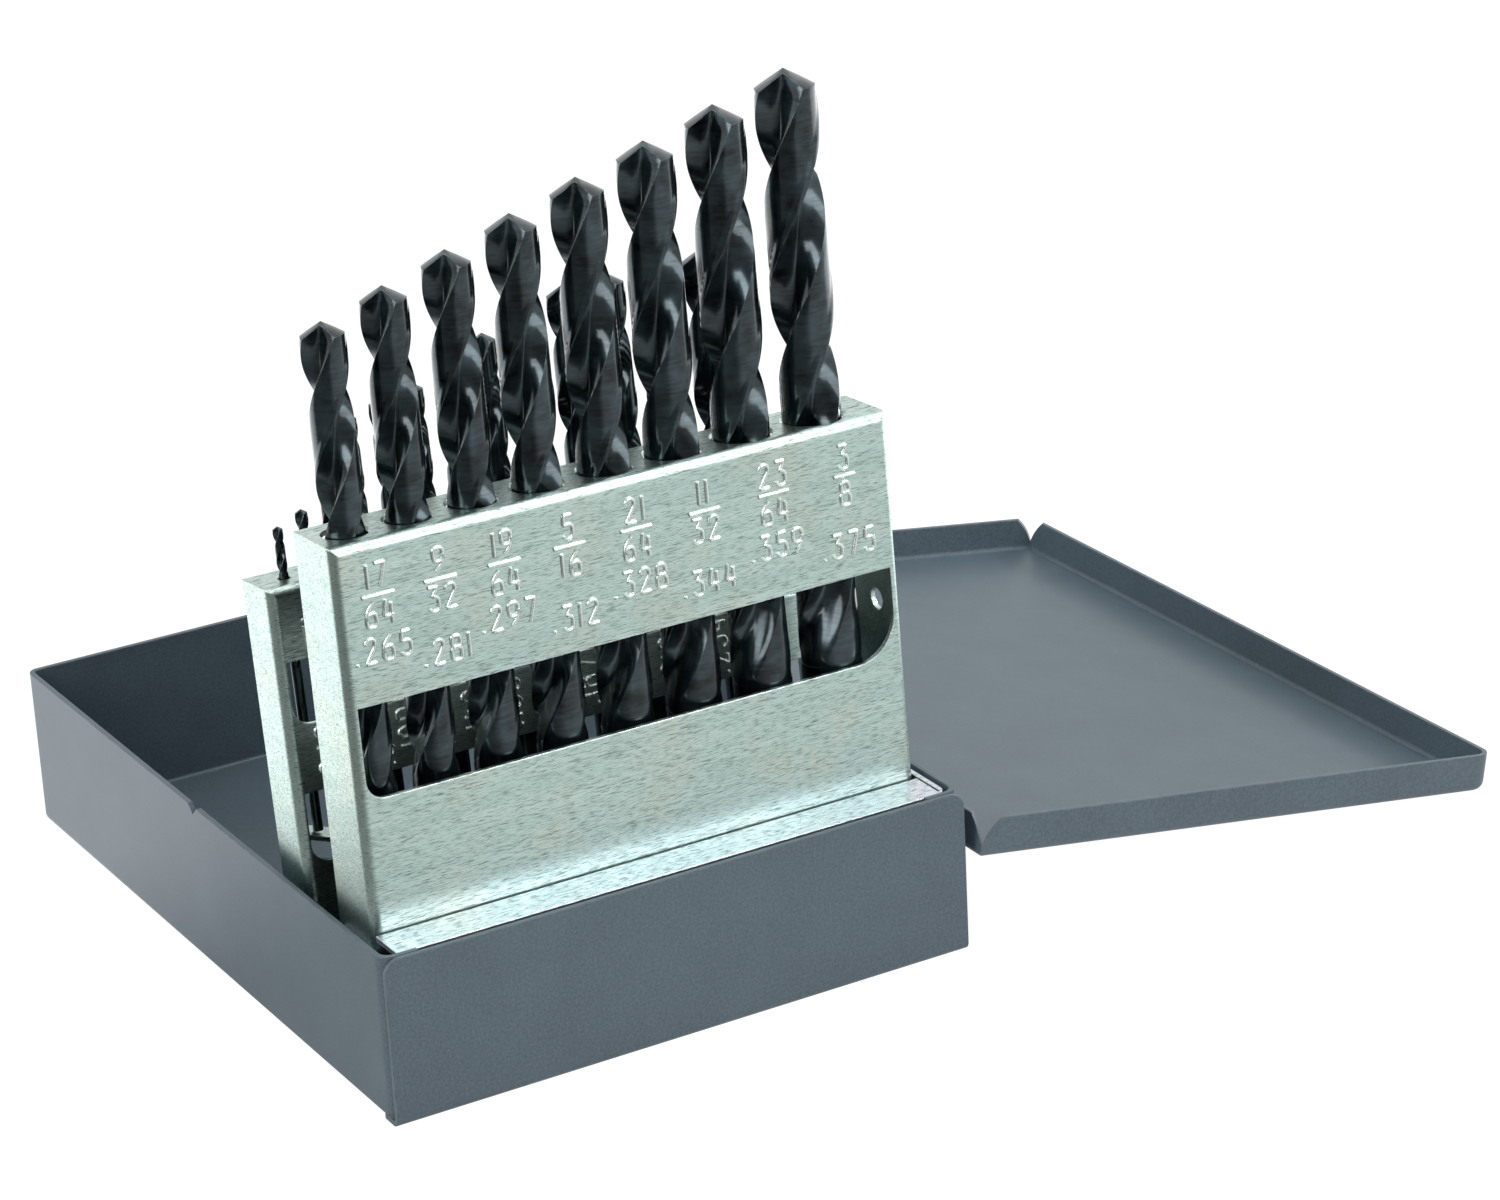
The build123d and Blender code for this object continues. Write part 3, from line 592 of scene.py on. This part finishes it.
@dataclass
class TwistDrills:
    """The ground drills: a section of two lands and two flutes, swept up a twisting line."""

    finishes: Finishes
    smallest: int = 4  # 64ths of an inch
    # overall lengths from the smallest drill up, in eighths of an inch
    eighths: tuple[int, ...] = (
        15, 16, 18, 21, 22, 23, 25, 26, 28, 29, 30, 31, 32, 33, 34, 35, 36, 37, 38, 39, 40,
    )
    # lengths of their flutes, in sixteenths
    flute_sixteenths: tuple[int, ...] = (
        14, 16, 20, 24, 26, 28, 32, 34, 37, 39, 40, 42, 44, 46, 47, 49, 51, 53, 55, 56, 58,
    )
    helix: float = 29.0
    point_angle: float = 118.0
    point_turn: float = 127.0  # how far round the lips stand from the rack's line
    around: int = 60
    row_degrees: float = 6.0
    sharp_degrees: float = 24.0  # folds sharper than this are shaded as edges
    runout: float = 3.2  # how far a flute takes to run out, in radii
    runout_fill: float = 0.97  # how full it is where it meets the shank
    cone_sides: int = 96
    cone_length: float = 1.1  # the grinding cone's length, in drill lengths
    # share of the radius, by share of half a turn: land, margin, then the flute's hollow
    section: tuple[tuple[float, float], ...] = (
        (0.0, 0.96), (0.366, 0.96), (0.367, 1.0), (0.433, 1.0), (0.467, 0.50),
        (0.5, 0.36), (0.533, 0.29), (0.567, 0.255), (0.6, 0.24), (0.633, 0.243),
        (0.7, 0.27), (0.733, 0.30), (0.767, 0.34), (0.8, 0.395), (0.833, 0.47),
        (0.867, 0.59), (0.9, 0.79), (0.933, 0.945), (1.0, 0.96),
    )
    tree: Any = None

    def build_tree(self) -> None:
        """Build the geometry tree that makes any drill of the set from its sizes."""
        sizes = ("Radius", "Length", "Shank Length", "Lead", "Runout")
        tree, given = new_geometry("twist_drill", sizes, ("Rows",))
        swept = self._sweep(tree, given)
        faded = self._fade_flutes(tree, given, swept)
        pointed = self._point(tree, given, faded)
        shank = add_node(
            tree,
            "GeometryNodeMeshCylinder",
            {"Vertices": self.around, "Radius": given["Radius"], "Depth": given["Shank Length"]},
        )
        half = sums(tree, "MULTIPLY", given["Shank Length"], 0.5)
        joined = add_node(tree, "GeometryNodeJoinGeometry", {0: pointed})
        tree.links.new(lifted(tree, shank.outputs["Mesh"], half), joined.inputs[0])
        angle = add_node(tree, "GeometryNodeInputMeshEdgeAngle")
        sharp = add_node(
            tree,
            "FunctionNodeCompare",
            {0: angle.outputs[0], 1: math.radians(self.sharp_degrees)},
            operation="GREATER_THAN",
        )
        smooth = add_node(
            tree, "GeometryNodeSetShadeSmooth", {"Geometry": joined.outputs[0]}, domain="FACE"
        )
        creased = add_node(
            tree,
            "GeometryNodeSetShadeSmooth",
            {"Geometry": smooth.outputs[0], "Selection": sharp.outputs[0], "Shade Smooth": False},
            domain="EDGE",
        )
        end_geometry(tree, creased.outputs[0], given["Finish"])
        self.tree = tree

    def _sweep(self, tree: Any, given: Any) -> Any:
        """Sweep the fluted section up the drill's axis with its right-hand twist.

        Args:
            tree: The geometry tree.
            given: The tree's inputs.

        Returns:
            The swept mesh's socket.
        """
        start = add_node(tree, "ShaderNodeCombineXYZ", {"Z": given["Shank Length"]})
        end = add_node(tree, "ShaderNodeCombineXYZ", {"Z": given["Length"]})
        line = add_node(
            tree,
            "GeometryNodeCurvePrimitiveLine",
            {"Start": start.outputs[0], "End": end.outputs[0]},
        )
        rows = add_node(
            tree, "GeometryNodeResampleCurve", {"Curve": line.outputs[0], "Count": given["Rows"]}
        )
        along = add_node(tree, "GeometryNodeSplineParameter")
        turns = sums(tree, "DIVIDE", along.outputs["Length"], given["Lead"])
        twist = sums(tree, "MULTIPLY", turns, 2 * math.pi)
        tilted = add_node(
            tree, "GeometryNodeSetCurveTilt", {"Curve": rows.outputs[0], "Tilt": twist}
        )
        circle = add_node(
            tree, "GeometryNodeCurvePrimitiveCircle", {"Resolution": self.around, "Radius": 1.0}
        )
        round_about = add_node(tree, "GeometryNodeSplineParameter")
        half_turn = sums(tree, "FRACT", sums(tree, "MULTIPLY", round_about.outputs["Factor"], 2.0))
        section = add_node(tree, "ShaderNodeFloatCurve", {"Value": half_turn})
        self._draw_section(section.mapping)
        reach = sums(tree, "MULTIPLY", section.outputs[0], given["Radius"])
        where = add_node(tree, "GeometryNodeInputPosition")
        scaled = vectors(tree, "SCALE", where.outputs[0], scale=reach)
        profile = add_node(
            tree,
            "GeometryNodeSetPosition",
            {"Geometry": circle.outputs["Curve"], "Position": scaled[0]},
        )
        swept = add_node(
            tree,
            "GeometryNodeCurveToMesh",
            {"Curve": tilted.outputs[0], "Profile Curve": profile.outputs[0], "Fill Caps": True},
        )
        return swept.outputs[0]

    def _draw_section(self, mapping: Any) -> None:
        """Draw the half section into a float curve.

        Args:
            mapping: The curve node's mapping.
        """
        points = mapping.curves[0].points
        while len(points) < len(self.section):
            points.new(0.5, 0.5)
        for point, (along, share) in zip(points, self.section):
            point.location = (along, share)
            point.handle_type = "VECTOR"
        mapping.update()

    def _fade_flutes(self, tree: Any, given: Any, swept: Any) -> Any:
        """Let the flutes run out where they meet the shank.

        Args:
            tree: The geometry tree.
            given: The tree's inputs.
            swept: The swept mesh's socket.

        Returns:
            The faded mesh's socket.
        """
        where = add_node(tree, "GeometryNodeInputPosition")
        height = add_node(tree, "ShaderNodeSeparateXYZ", {0: where.outputs[0]})
        flat = vectors(tree, "MULTIPLY", where.outputs[0], (1.0, 1.0, 0.0))[0]
        reach = vectors(tree, "LENGTH", flat)["Value"]
        top = sums(tree, "ADD", given["Shank Length"], given["Runout"])
        span = (given["Shank Length"], top)
        fill = (self.runout_fill, 0.0)
        share = mapped(tree, height.outputs["Z"], span, fill, interpolation_type="SMOOTHSTEP")
        short = sums(tree, "SUBTRACT", given["Radius"], reach)
        grow = sums(tree, "MULTIPLY", short, share)
        outward = vectors(tree, "NORMALIZE", flat)[0]
        move = vectors(tree, "SCALE", outward, scale=grow)[0]
        faded = add_node(tree, "GeometryNodeSetPosition", {"Geometry": swept, "Offset": move})
        return faded.outputs[0]

    def _point(self, tree: Any, given: Any, body: Any) -> Any:
        """Grind the point: the body is cut by one wide cone.

        Args:
            tree: The geometry tree.
            given: The tree's inputs.
            body: The body's socket.

        Returns:
            The pointed mesh's socket.
        """
        depth = sums(tree, "MULTIPLY", given["Length"], self.cone_length)
        slope = math.tan(math.radians(self.point_angle / 2))
        foot = sums(tree, "MULTIPLY", depth, slope)
        cone = add_node(
            tree,
            "GeometryNodeMeshCone",
            {"Vertices": self.cone_sides, "Radius Top": 0.0, "Radius Bottom": foot, "Depth": depth},
        )
        drop = sums(tree, "SUBTRACT", given["Length"], depth)
        ground = add_node(
            tree, "GeometryNodeMeshBoolean", {1: body}, operation="INTERSECT", solver="MANIFOLD"
        )
        tree.links.new(lifted(tree, cone.outputs["Mesh"], drop), ground.inputs[1])
        return ground.outputs["Mesh"]

    def build_one(self, size: int, place: Matrix) -> Any:
        """Make one drill and put it in its frame node's place.

        Args:
            size: Its diameter in 64ths of an inch.
            place: Its frame, with Z along it and its shank's end at the origin.

        Returns:
            The finished object.
        """
        name = drill_name(size)
        length = self.eighths[size - self.smallest] * INCH / 8
        flutes = self.flute_sixteenths[size - self.smallest] * INCH / 16
        radius = size * RADIUS_STEP
        lead = 2 * math.pi * radius / math.tan(math.radians(self.helix))
        values = {
            "Radius": radius * MM,
            "Length": length * MM,
            "Shank Length": (length - flutes) * MM,
            "Lead": lead * MM,
            "Runout": self.runout * radius * MM,
            "Rows": math.ceil(360 * flutes / lead / self.row_degrees) + 1,
            "Finish": self.finishes.made[Slot.OXIDE],
        }
        source = bpy.data.objects.new(name + "_source", bpy.data.meshes.new(name + "_source"))
        piece = from_tree(source, self.tree, values, f"ground_{name}")
        turned = math.radians(self.point_turn) - 2 * math.pi * flutes / lead
        piece.data.transform(place @ Matrix.Rotation(turned, 4, "Z"))
        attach(piece, name)
        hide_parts(name)
        faces = len(piece.data.polygons)
        LOG.info("%s: %.3f mm by %.1f mm, %d faces", name, 2 * radius, length, faces)
        return piece


def from_tree(source: Any, tree: Any, values: dict[str, Any], name: str) -> Any:
    """Run a geometry tree on an object and keep its result as a plain mesh.

    Args:
        source: The object that the tree starts from. It is removed.
        tree: The geometry tree.
        values: The tree's inputs by name.
        name: The new piece's name.

    Returns:
        The new object, with no modifier.
    """
    bpy.context.scene.collection.objects.link(source)
    modifier = source.modifiers.new("make", "NODES")
    modifier.node_group = tree
    items = tree.interface.items_tree
    sockets = {item.name: item.identifier for item in items if item.in_out == "INPUT"}
    for key, value in values.items():
        modifier[sockets[key]] = value
    source.update_tag()
    graph = bpy.context.evaluated_depsgraph_get()
    mesh = bpy.data.meshes.new_from_object(source.evaluated_get(graph), depsgraph=graph)
    mesh.name = name
    piece = bpy.data.objects.new(name, mesh)
    bpy.context.scene.collection.objects.link(piece)
    bpy.data.objects.remove(source)
    return piece


# ---- stamped numbers -------------------------------------

Stroke = tuple[tuple[float, float], ...]
# each figure as strokes of (across, up) points in a cell one high, as a stamp-cutter draws them
STROKES: dict[str, tuple[Stroke, ...]] = {
    "0": (
        (
            (0.31, 1), (0.04, 0.98), (0, 0.5), (0.04, 0.02), (0.31, 0), (0.58, 0.02), (0.62, 0.5),
            (0.58, 0.98), (0.31, 1),
        ),
    ),
    "1": (((0.31, 1), (0.31, 0)),),
    "2": (
        ((0.02, 0.78), (0.06, 1), (0.56, 1.02), (0.62, 0.72), (0.36, 0.42), (0, 0)),
        ((0, 0), (0.62, 0)),
    ),
    "3": (
        ((0.02, 1), (0.6, 1)),
        ((0.6, 1), (0.28, 0.6)),
        ((0.28, 0.6), (0.6, 0.6), (0.62, 0.3), (0.6, 0), (0.1, -0.02), (0, 0.16)),
    ),
    "4": (((0.16, 1), (0, 0.34)), ((0, 0.34), (0.62, 0.34)), ((0.48, 0.84), (0.48, 0))),
    "5": (
        ((0.58, 1), (0.08, 1)),
        ((0.08, 1), (0.05, 0.58)),
        ((0.05, 0.58), (0.56, 0.68), (0.64, 0.32), (0.56, 0), (0.08, -0.02), (0, 0.16)),
    ),
    "6": (
        (
            (0.5, 1), (0.1, 0.72), (0, 0.34), (0.02, 0.02), (0.31, -0.02), (0.6, 0.02), (0.62, 0.3),
            (0.56, 0.56), (0.31, 0.58), (0.04, 0.5), (0.01, 0.3),
        ),
    ),
    "7": (((0, 1), (0.62, 1)), ((0.62, 1), (0.24, 0))),
    "8": (
        (
            (0.31, 0.54), (0.06, 0.56), (0.04, 0.78), (0.08, 1), (0.31, 1.01), (0.54, 1),
            (0.58, 0.78), (0.56, 0.56), (0.31, 0.54),
        ),
        (
            (0.31, 0.54), (0.02, 0.52), (0, 0.27), (0.02, 0), (0.31, -0.01), (0.6, 0), (0.62, 0.27),
            (0.6, 0.52), (0.31, 0.54),
        ),
    ),
    "9": (
        (
            (0.12, 0), (0.52, 0.28), (0.62, 0.66), (0.6, 0.98), (0.31, 1.02), (0.02, 0.98),
            (0, 0.7), (0.06, 0.44), (0.31, 0.42), (0.58, 0.5), (0.61, 0.7),
        ),
    ),
    ".": (((0.26, 0.0), (0.26, 0.08)),),
}


@dataclass
class StampedNumbers:
    """The size figures that are stamped up out of a rack's face, each a rounded ridge."""

    finishes: Finishes
    ridge: float = 0.33  # half the ridge's width
    ridge_sides: int = 10
    curve_steps: int = 5
    height: float = 3.6
    pitch: float = 2.8
    rise: float = 1.1  # the ridge's height as a share of half its width
    aspect: float = 0.72  # how much narrower the figures are than their strokes' cells
    wide: float = 0.62  # a figure's width in its cell
    slim: str = ".1"  # the marks that take less of the line
    slim_share: float = 0.5
    tree: Any = None

    def build_tree(self) -> None:
        """Build the geometry tree that swells a rounded ridge along every stroke."""
        tree, given = new_geometry("stamped_ridge", ("Half Width", "Rise"))
        profile = add_node(
            tree,
            "GeometryNodeCurvePrimitiveCircle",
            {"Resolution": self.ridge_sides, "Radius": given["Half Width"]},
        )
        ridge = add_node(
            tree,
            "GeometryNodeCurveToMesh",
            {"Curve": given["Geometry"], "Profile Curve": profile.outputs[0], "Fill Caps": True},
        )
        squash = add_node(tree, "ShaderNodeCombineXYZ", {"X": 1.0, "Y": 1.0, "Z": given["Rise"]})
        low = add_node(
            tree,
            "GeometryNodeTransform",
            {"Geometry": ridge.outputs[0], "Scale": squash.outputs[0]},
        )
        smooth = add_node(tree, "GeometryNodeSetShadeSmooth", {"Geometry": low.outputs[0]})
        end_geometry(tree, smooth.outputs[0], given["Finish"])
        self.tree = tree

    def strokes_of(self, text: str, x: float, y: float, upright: bool) -> list[list[Vector]]:
        """Lay one short text out as strokes.

        Args:
            text: Figures and points.
            x: Its middle along the rack.
            y: Its middle up from the rack's top edge.
            upright: True where it reads along the rack, False where it reads upwards.

        Returns:
            The strokes' points, in metres in the face's frame.
        """
        strokes = []
        advance = [self.pitch * (self.slim_share if mark in self.slim else 1.0) for mark in text]
        cell = self.wide * self.height * self.aspect
        pen = -(sum(advance) - (self.pitch - cell)) / 2
        for mark, step in zip(text, advance):
            narrow = (self.pitch - step) / 2
            for stroke in STROKES[mark]:
                points = []
                for across, up in stroke:
                    u = pen - narrow + across * self.height * self.aspect
                    v = (up - 0.5) * self.height
                    u, v = (u, v) if upright else (-v, u)
                    points.append(Vector(((x + u) * MM, (y + v) * MM, 0)))
                strokes.append(points)
            pen += step
        return strokes

    def bar(self, x: float, y: float, length: float) -> list[Vector]:
        """A fraction's bar, as one stroke."""
        return [Vector(((x + side * length / 2) * MM, y * MM, 0)) for side in (-1, 1)]

    def fraction(
        self, size: int, x: float, rows: tuple[float, float, float], bars: tuple[float, float]
    ) -> list[list[Vector]]:
        """Lay a size out as a fraction of an inch.

        Args:
            size: The size in 64ths of an inch.
            x: The fraction's middle along the rack.
            rows: The middles of its numerator, its bar and its denominator.
            bars: The bar's length over one figure and over two.

        Returns:
            The strokes' points, in metres in the face's frame.
        """
        shared = math.gcd(size, 64)
        above, line, below = rows
        bottom = str(64 // shared)
        strokes = self.strokes_of(str(size // shared), x, above, True)
        strokes.append(self.bar(x, line, bars[len(bottom) - 1]))
        return strokes + self.strokes_of(bottom, x, below, True)

    def build(self, strokes: list[list[Vector]], place: Matrix, body: str, name: str) -> Any:
        """Raise the strokes out of a rack's face.

        Args:
            strokes: All of a rack's strokes in its face's frame.
            place: The face's frame.
            body: The body that the rack belongs to.
            name: The piece's name.

        Returns:
            The finished object.
        """
        curve = bpy.data.curves.new(name + "_strokes", "CURVE")
        curve.dimensions = "3D"
        for points in strokes:
            spline = curve.splines.new("NURBS")
            spline.points.add(len(points) - 1)
            for knot, point in zip(spline.points, points):
                knot.co = (*point, 1.0)
            spline.order_u = 3 if len(points) > 2 else 2
            spline.use_endpoint_u = True
            spline.resolution_u = self.curve_steps
        source = bpy.data.objects.new(name + "_source", curve)
        # the figures take the smoother zinc, paled as a painted highlight
        values = {
            "Half Width": self.ridge * MM, "Rise": self.rise, "Finish": self.finishes.smooth_zinc_with_painted_highlight
        }
        piece = from_tree(source, self.tree, values, name)
        piece.data.transform(place)
        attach(piece, body)
        LOG.info("%s: %d strokes", name, len(strokes))
        return piece


# ---- sub-assemblies --------------------------------------


@dataclass
class Case:
    """The painted tray and lid, the hinge between them, and the cradle that carries the racks."""

    finishes: Finishes
    painted: tuple[str, ...] = ("tray", "lid", "hinge_leaf")
    # the cradle takes the paler, bluer zinc copy, which is painted light
    plated: tuple[str, ...] = ("cradle",)
    bright: tuple[str, ...] = (
        "hinge_pin",
        "front_pivot_rivet_left",
        "front_pivot_rivet_right",
        "rear_pivot_rivet_left",
        "rear_pivot_rivet_right",
    )

    def dress(self) -> None:
        """Give each frame node its finish."""
        groups = ((self.painted, Slot.PAINT), (self.plated, Slot.ZINC), (self.bright, Slot.PIN))
        for names, slot in groups:
            for name in names:
                self.finishes.coat(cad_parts[name], slot, lit_copy=name in self.plated)
                LOG.info("%s: %s", name, slot.value)


@dataclass
class Rack:
    """A folded rack with its shelf, its stamped sizes and the drills that stand in it."""

    finishes: Finishes
    drills: TwistDrills
    numbers: StampedNumbers
    row: str
    place: RackPlace
    sizes: range
    first_hole: float
    last_hole: float
    shelf_high: float  # how far below the rack's top its shelf is at the smallest drill
    shelf_low: float  # and at the largest
    figures_right: float  # the figures stand a little right of their holes
    fraction_rows: tuple[float, float, float]
    bars: tuple[float, float]
    decimal_rows: tuple[float, ...]  # taken in turn
    upright: bool  # whether the decimals read along the rack
    decimals: tuple[str, ...]
    width: float = 93.0
    seat_gap: float = 0.05

    def build(self) -> None:
        """Finish the rack and its shelf, stamp it and stand its drills in it."""
        for name in (f"{self.row}_rack", f"{self.row}_shelf"):
            self.finishes.coat(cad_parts[name], Slot.ZINC)
            LOG.info("%s: %s", name, Slot.ZINC.value)
        places = spread(self.width, self.sizes, self.first_hole, self.last_hole)
        start, end = places[self.sizes[0]], places[self.sizes[-1]]
        slope = (self.shelf_low - self.shelf_high) / (end - start)
        strokes = []
        for index, (size, hole) in enumerate(places.items()):
            x = hole + self.figures_right
            strokes += self.numbers.fraction(size, x, self.fraction_rows, self.bars)
            line = self.decimal_rows[index % len(self.decimal_rows)]
            strokes += self.numbers.strokes_of(self.decimals[index], x, line, self.upright)
            uphill = hole - size * RADIUS_STEP - start
            below = min(self.shelf_high + uphill * slope, self.shelf_low)
            self.drills.build_one(size, self.place.drill_matrix(hole, below - self.seat_gap))
        body = f"{self.row}_rack"
        self.numbers.build(strokes, self.place.matrix(), body, body + "_sizes")


@dataclass
class FrontRack(Rack):
    """The front rack, for eight large drills, with two staggered lines of decimals."""

    row: str = "front"
    place: RackPlace = RackPlace(
        pivot_back=13.2, pivot_height=20.5, lean=4.0,
        face_ahead=4.5, top_over_pivot=65.1, depth=12.0,
    )
    sizes: range = range(17, 25)
    first_hole: float = 5.4
    last_hole: float = 9.6
    shelf_high: float = 73.5
    shelf_low: float = 73.5
    figures_right: float = 1.3
    fraction_rows: tuple[float, float, float] = (-5.3, -8.2, -11.0)
    bars: tuple[float, float] = (3.6, 5.2)
    decimal_rows: tuple[float, ...] = (-16.3, -19.0)
    upright: bool = True
    decimals: tuple[str, ...] = (".265", ".281", ".297", ".312", ".328", ".344", ".359", ".375")


@dataclass
class RearRack(Rack):
    """The rear rack, for thirteen small drills on a sloping shelf, with decimals on their side."""

    row: str = "rear"
    place: RackPlace = RackPlace(
        pivot_back=34.5, pivot_height=8.0, lean=6.0,
        face_ahead=4.5, top_over_pivot=63.8, depth=9.0,
    )
    sizes: range = range(4, 17)
    first_hole: float = 4.8
    last_hole: float = 13.2
    shelf_high: float = 40.0
    shelf_low: float = 68.0
    figures_right: float = 1.6
    fraction_rows: tuple[float, float, float] = (-3.3, -5.6, -8.2)
    bars: tuple[float, float] = (3.4, 3.4)
    decimal_rows: tuple[float, ...] = (-26.6,)
    upright: bool = False
    decimals: tuple[str, ...] = (
        ".062", ".078", ".094", ".109", ".125", ".140", ".156",
        ".172", ".187", ".203", ".219", ".234", ".250",
    )


# ---- studio ----------------------------------------------


@dataclass(frozen=True)
class Lamp:
    """One square soft lamp: where it hangs and what it faces, in metres, its side and its watts."""

    name: str
    at: tuple[float, float, float]
    towards: tuple[float, float, float]
    size: float
    power: float

    def hang(self) -> None:
        """Add the lamp to the scene."""
        light = bpy.data.lights.new(self.name, "AREA")
        light.size = self.size
        light.energy = self.power
        lamp = bpy.data.objects.new(self.name, light)
        lamp.location = self.at
        aim = Vector(self.towards) - Vector(self.at)
        lamp.rotation_euler = aim.to_track_quat("-Z", "Y").to_euler()
        bpy.context.scene.collection.objects.link(lamp)


@dataclass
class Studio:
    """A pale floor, soft lamps and the camera."""

    lamps: tuple[Lamp, ...] = (
        Lamp("key_right", (0.40, -0.32, 0.80), (0.0, 0.0, 0.05), 0.16, 1.7),
        Lamp("fill_left", (-0.80, -0.12, 0.46), (0.0, 0.0, 0.04), 0.5, 4.0),
        Lamp("top", (0.05, 0.05, 0.95), (0.0, 0.0, 0.0), 0.9, 2.6),
        Lamp("rim_right", (0.80, 0.05, 0.24), (0.0, 0.0, 0.09), 0.12, 1.6),
        Lamp("front", (0.30, -0.9, 0.45), (0.0, 0.0, 0.05), 0.5, 2.7),
    )
    floor_half: float = 3.0  # metres
    floor_drop_mm: float = 0.05
    board: str = "#F4F4F4"
    board_roughness: float = 0.9
    floor_share: float = 0.88  # how much of the floor's look is its own glow
    left_edge: tuple[float, float] = (-0.15, 0.0)  # metres over which the floor brightens
    back_edge: tuple[float, float] = (-0.02, 0.03)
    back_heading: tuple[float, float, float] = (0.3, 0.95, 0.0)
    open_heading: tuple[float, float, float] = (-0.75, -0.6, 0.25)
    open_spread: tuple[float, float] = (0.35, 0.9)
    ambient: float = 0.08  # the tent's light on matt surfaces
    opening: float = 0.3  # how bright its open side is
    floor_seen: float = 1.14
    floor_ahead: float = 0.85  # the floor in front of the case, as the metal mirrors it
    floor_left: float = 0.12
    floor_behind: float = 2.0
    camera_at: tuple[float, float, float] = (-296.0, -615.4, 322.4)  # millimetres
    yaw: float = 29.46
    pitch: float = 22.03
    roll: float = -2.98
    focal_pixels: float = 4646.0
    frame_pixels: float = 1500.0  # across
    sensor_mm: float = 36.0
    clip: tuple[float, float] = (0.05, 20.0)  # metres

    def build(self) -> None:
        """Lay the floor, hang the lamps and set up the camera."""
        self._floor()
        self._world()
        for lamp in self.lamps:
            lamp.hang()
        self._camera()
        bpy.context.scene.view_settings.view_transform = "Standard"

    def _floor(self) -> None:
        """A matt pale floor that the camera sees as white where nothing shades it."""
        mesh = bpy.data.meshes.new("floor")
        half = self.floor_half
        corners = [(-half, -half, 0), (half, -half, 0), (half, half, 0), (-half, half, 0)]
        mesh.from_pydata(corners, [], [(0, 1, 2, 3)])
        floor = bpy.data.objects.new("floor", mesh)
        bpy.context.scene.collection.objects.link(floor)
        floor.location.z = -self.floor_drop_mm * MM
        material, tree, shader, place = new_material("matt_white_board")
        shader.inputs["Base Color"].default_value = linear(self.board)
        shader.inputs["Roughness"].default_value = self.board_roughness
        across = add_node(tree, "ShaderNodeSeparateXYZ", {0: place}).outputs["X"]
        ahead = mapped(tree, across, self.left_edge, (self.floor_left, self.floor_ahead))
        behind = vectors(tree, "DOT_PRODUCT", place, self.back_heading)["Value"]
        mirrored = mapped(tree, behind, self.back_edge, (ahead, self.floor_behind))
        path = add_node(tree, "ShaderNodeLightPath").outputs
        camera_ray = path["Is Camera Ray"]
        brightness = {"Factor": camera_ray, 2: mirrored, 3: self.floor_seen}
        strength = add_node(tree, "ShaderNodeMix", brightness).outputs[0]
        white = linear("#FFFFFF")
        glow = add_node(tree, "ShaderNodeEmission", {"Color": white, "Strength": strength})
        shown = sums(tree, "MAXIMUM", camera_ray, path["Is Glossy Ray"])
        seen = sums(tree, "MULTIPLY", shown, self.floor_share)
        mixed = add_node(
            tree, "ShaderNodeMixShader", {0: seen, 1: shader.outputs[0], 2: glow.outputs[0]}
        )
        tree.links.new(mixed.outputs[0], tree.nodes["Material Output"].inputs["Surface"])
        mesh.materials.append(material)

    def _world(self) -> None:
        """A white tent that is open, and darker, at the left of its front."""
        world = bpy.data.worlds.new("white_tent")
        bpy.context.scene.world = world
        world.use_nodes = True
        tree = world.node_tree
        base = tree.nodes["Background"]
        base.inputs["Color"].default_value = linear("#FFFFFF")
        heading = add_node(tree, "ShaderNodeTexCoord").outputs["Generated"]
        facing = vectors(tree, "DOT_PRODUCT", heading, self.open_heading)["Value"]
        tent = mapped(tree, facing, self.open_spread, (1.0, self.opening))
        path = add_node(tree, "ShaderNodeLightPath").outputs
        lit = mapped(tree, path["Is Glossy Ray"], made=(self.ambient, 1.0))
        indoors = sums(tree, "MULTIPLY", tent, lit)
        strength = sums(tree, "MAXIMUM", indoors, path["Is Camera Ray"])
        tree.links.new(strength, base.inputs["Strength"])

    def _camera(self) -> None:
        """Set up the camera from its place, heading and focal length."""
        data = bpy.data.cameras.new("camera")
        data.sensor_width = self.sensor_mm
        data.sensor_fit = "HORIZONTAL"
        data.lens = self.focal_pixels / self.frame_pixels * data.sensor_width
        data.clip_start, data.clip_end = self.clip
        camera = bpy.data.objects.new("camera", data)
        bpy.context.scene.collection.objects.link(camera)
        yaw, pitch, roll = (math.radians(a) for a in (self.yaw, self.pitch, self.roll))
        ahead = math.cos(pitch)
        forward = Vector((math.sin(yaw) * ahead, math.cos(yaw) * ahead, -math.sin(pitch)))
        level = Vector((math.cos(yaw), -math.sin(yaw), 0))
        above = level.cross(forward)
        right = level * math.cos(roll) + above * math.sin(roll)
        up = above * math.cos(roll) - level * math.sin(roll)
        rows = [[right[i], up[i], -forward[i], self.camera_at[i] * MM] for i in range(3)]
        camera.matrix_world = Matrix([*rows, [0, 0, 0, 1]])
        bpy.context.scene.camera = camera


def main() -> None:
    """Build the dressed case from its sub-assemblies."""
    logging.basicConfig(level=logging.INFO, format="%(name)s %(message)s")
    finishes = Finishes()
    finishes.build()
    drills = TwistDrills(finishes)
    drills.build_tree()
    numbers = StampedNumbers(finishes)
    numbers.build_tree()
    Case(finishes).dress()
    FrontRack(finishes, drills, numbers).build()
    RearRack(finishes, drills, numbers).build()
    Studio().build()


if __name__ == "__main__":
    main()
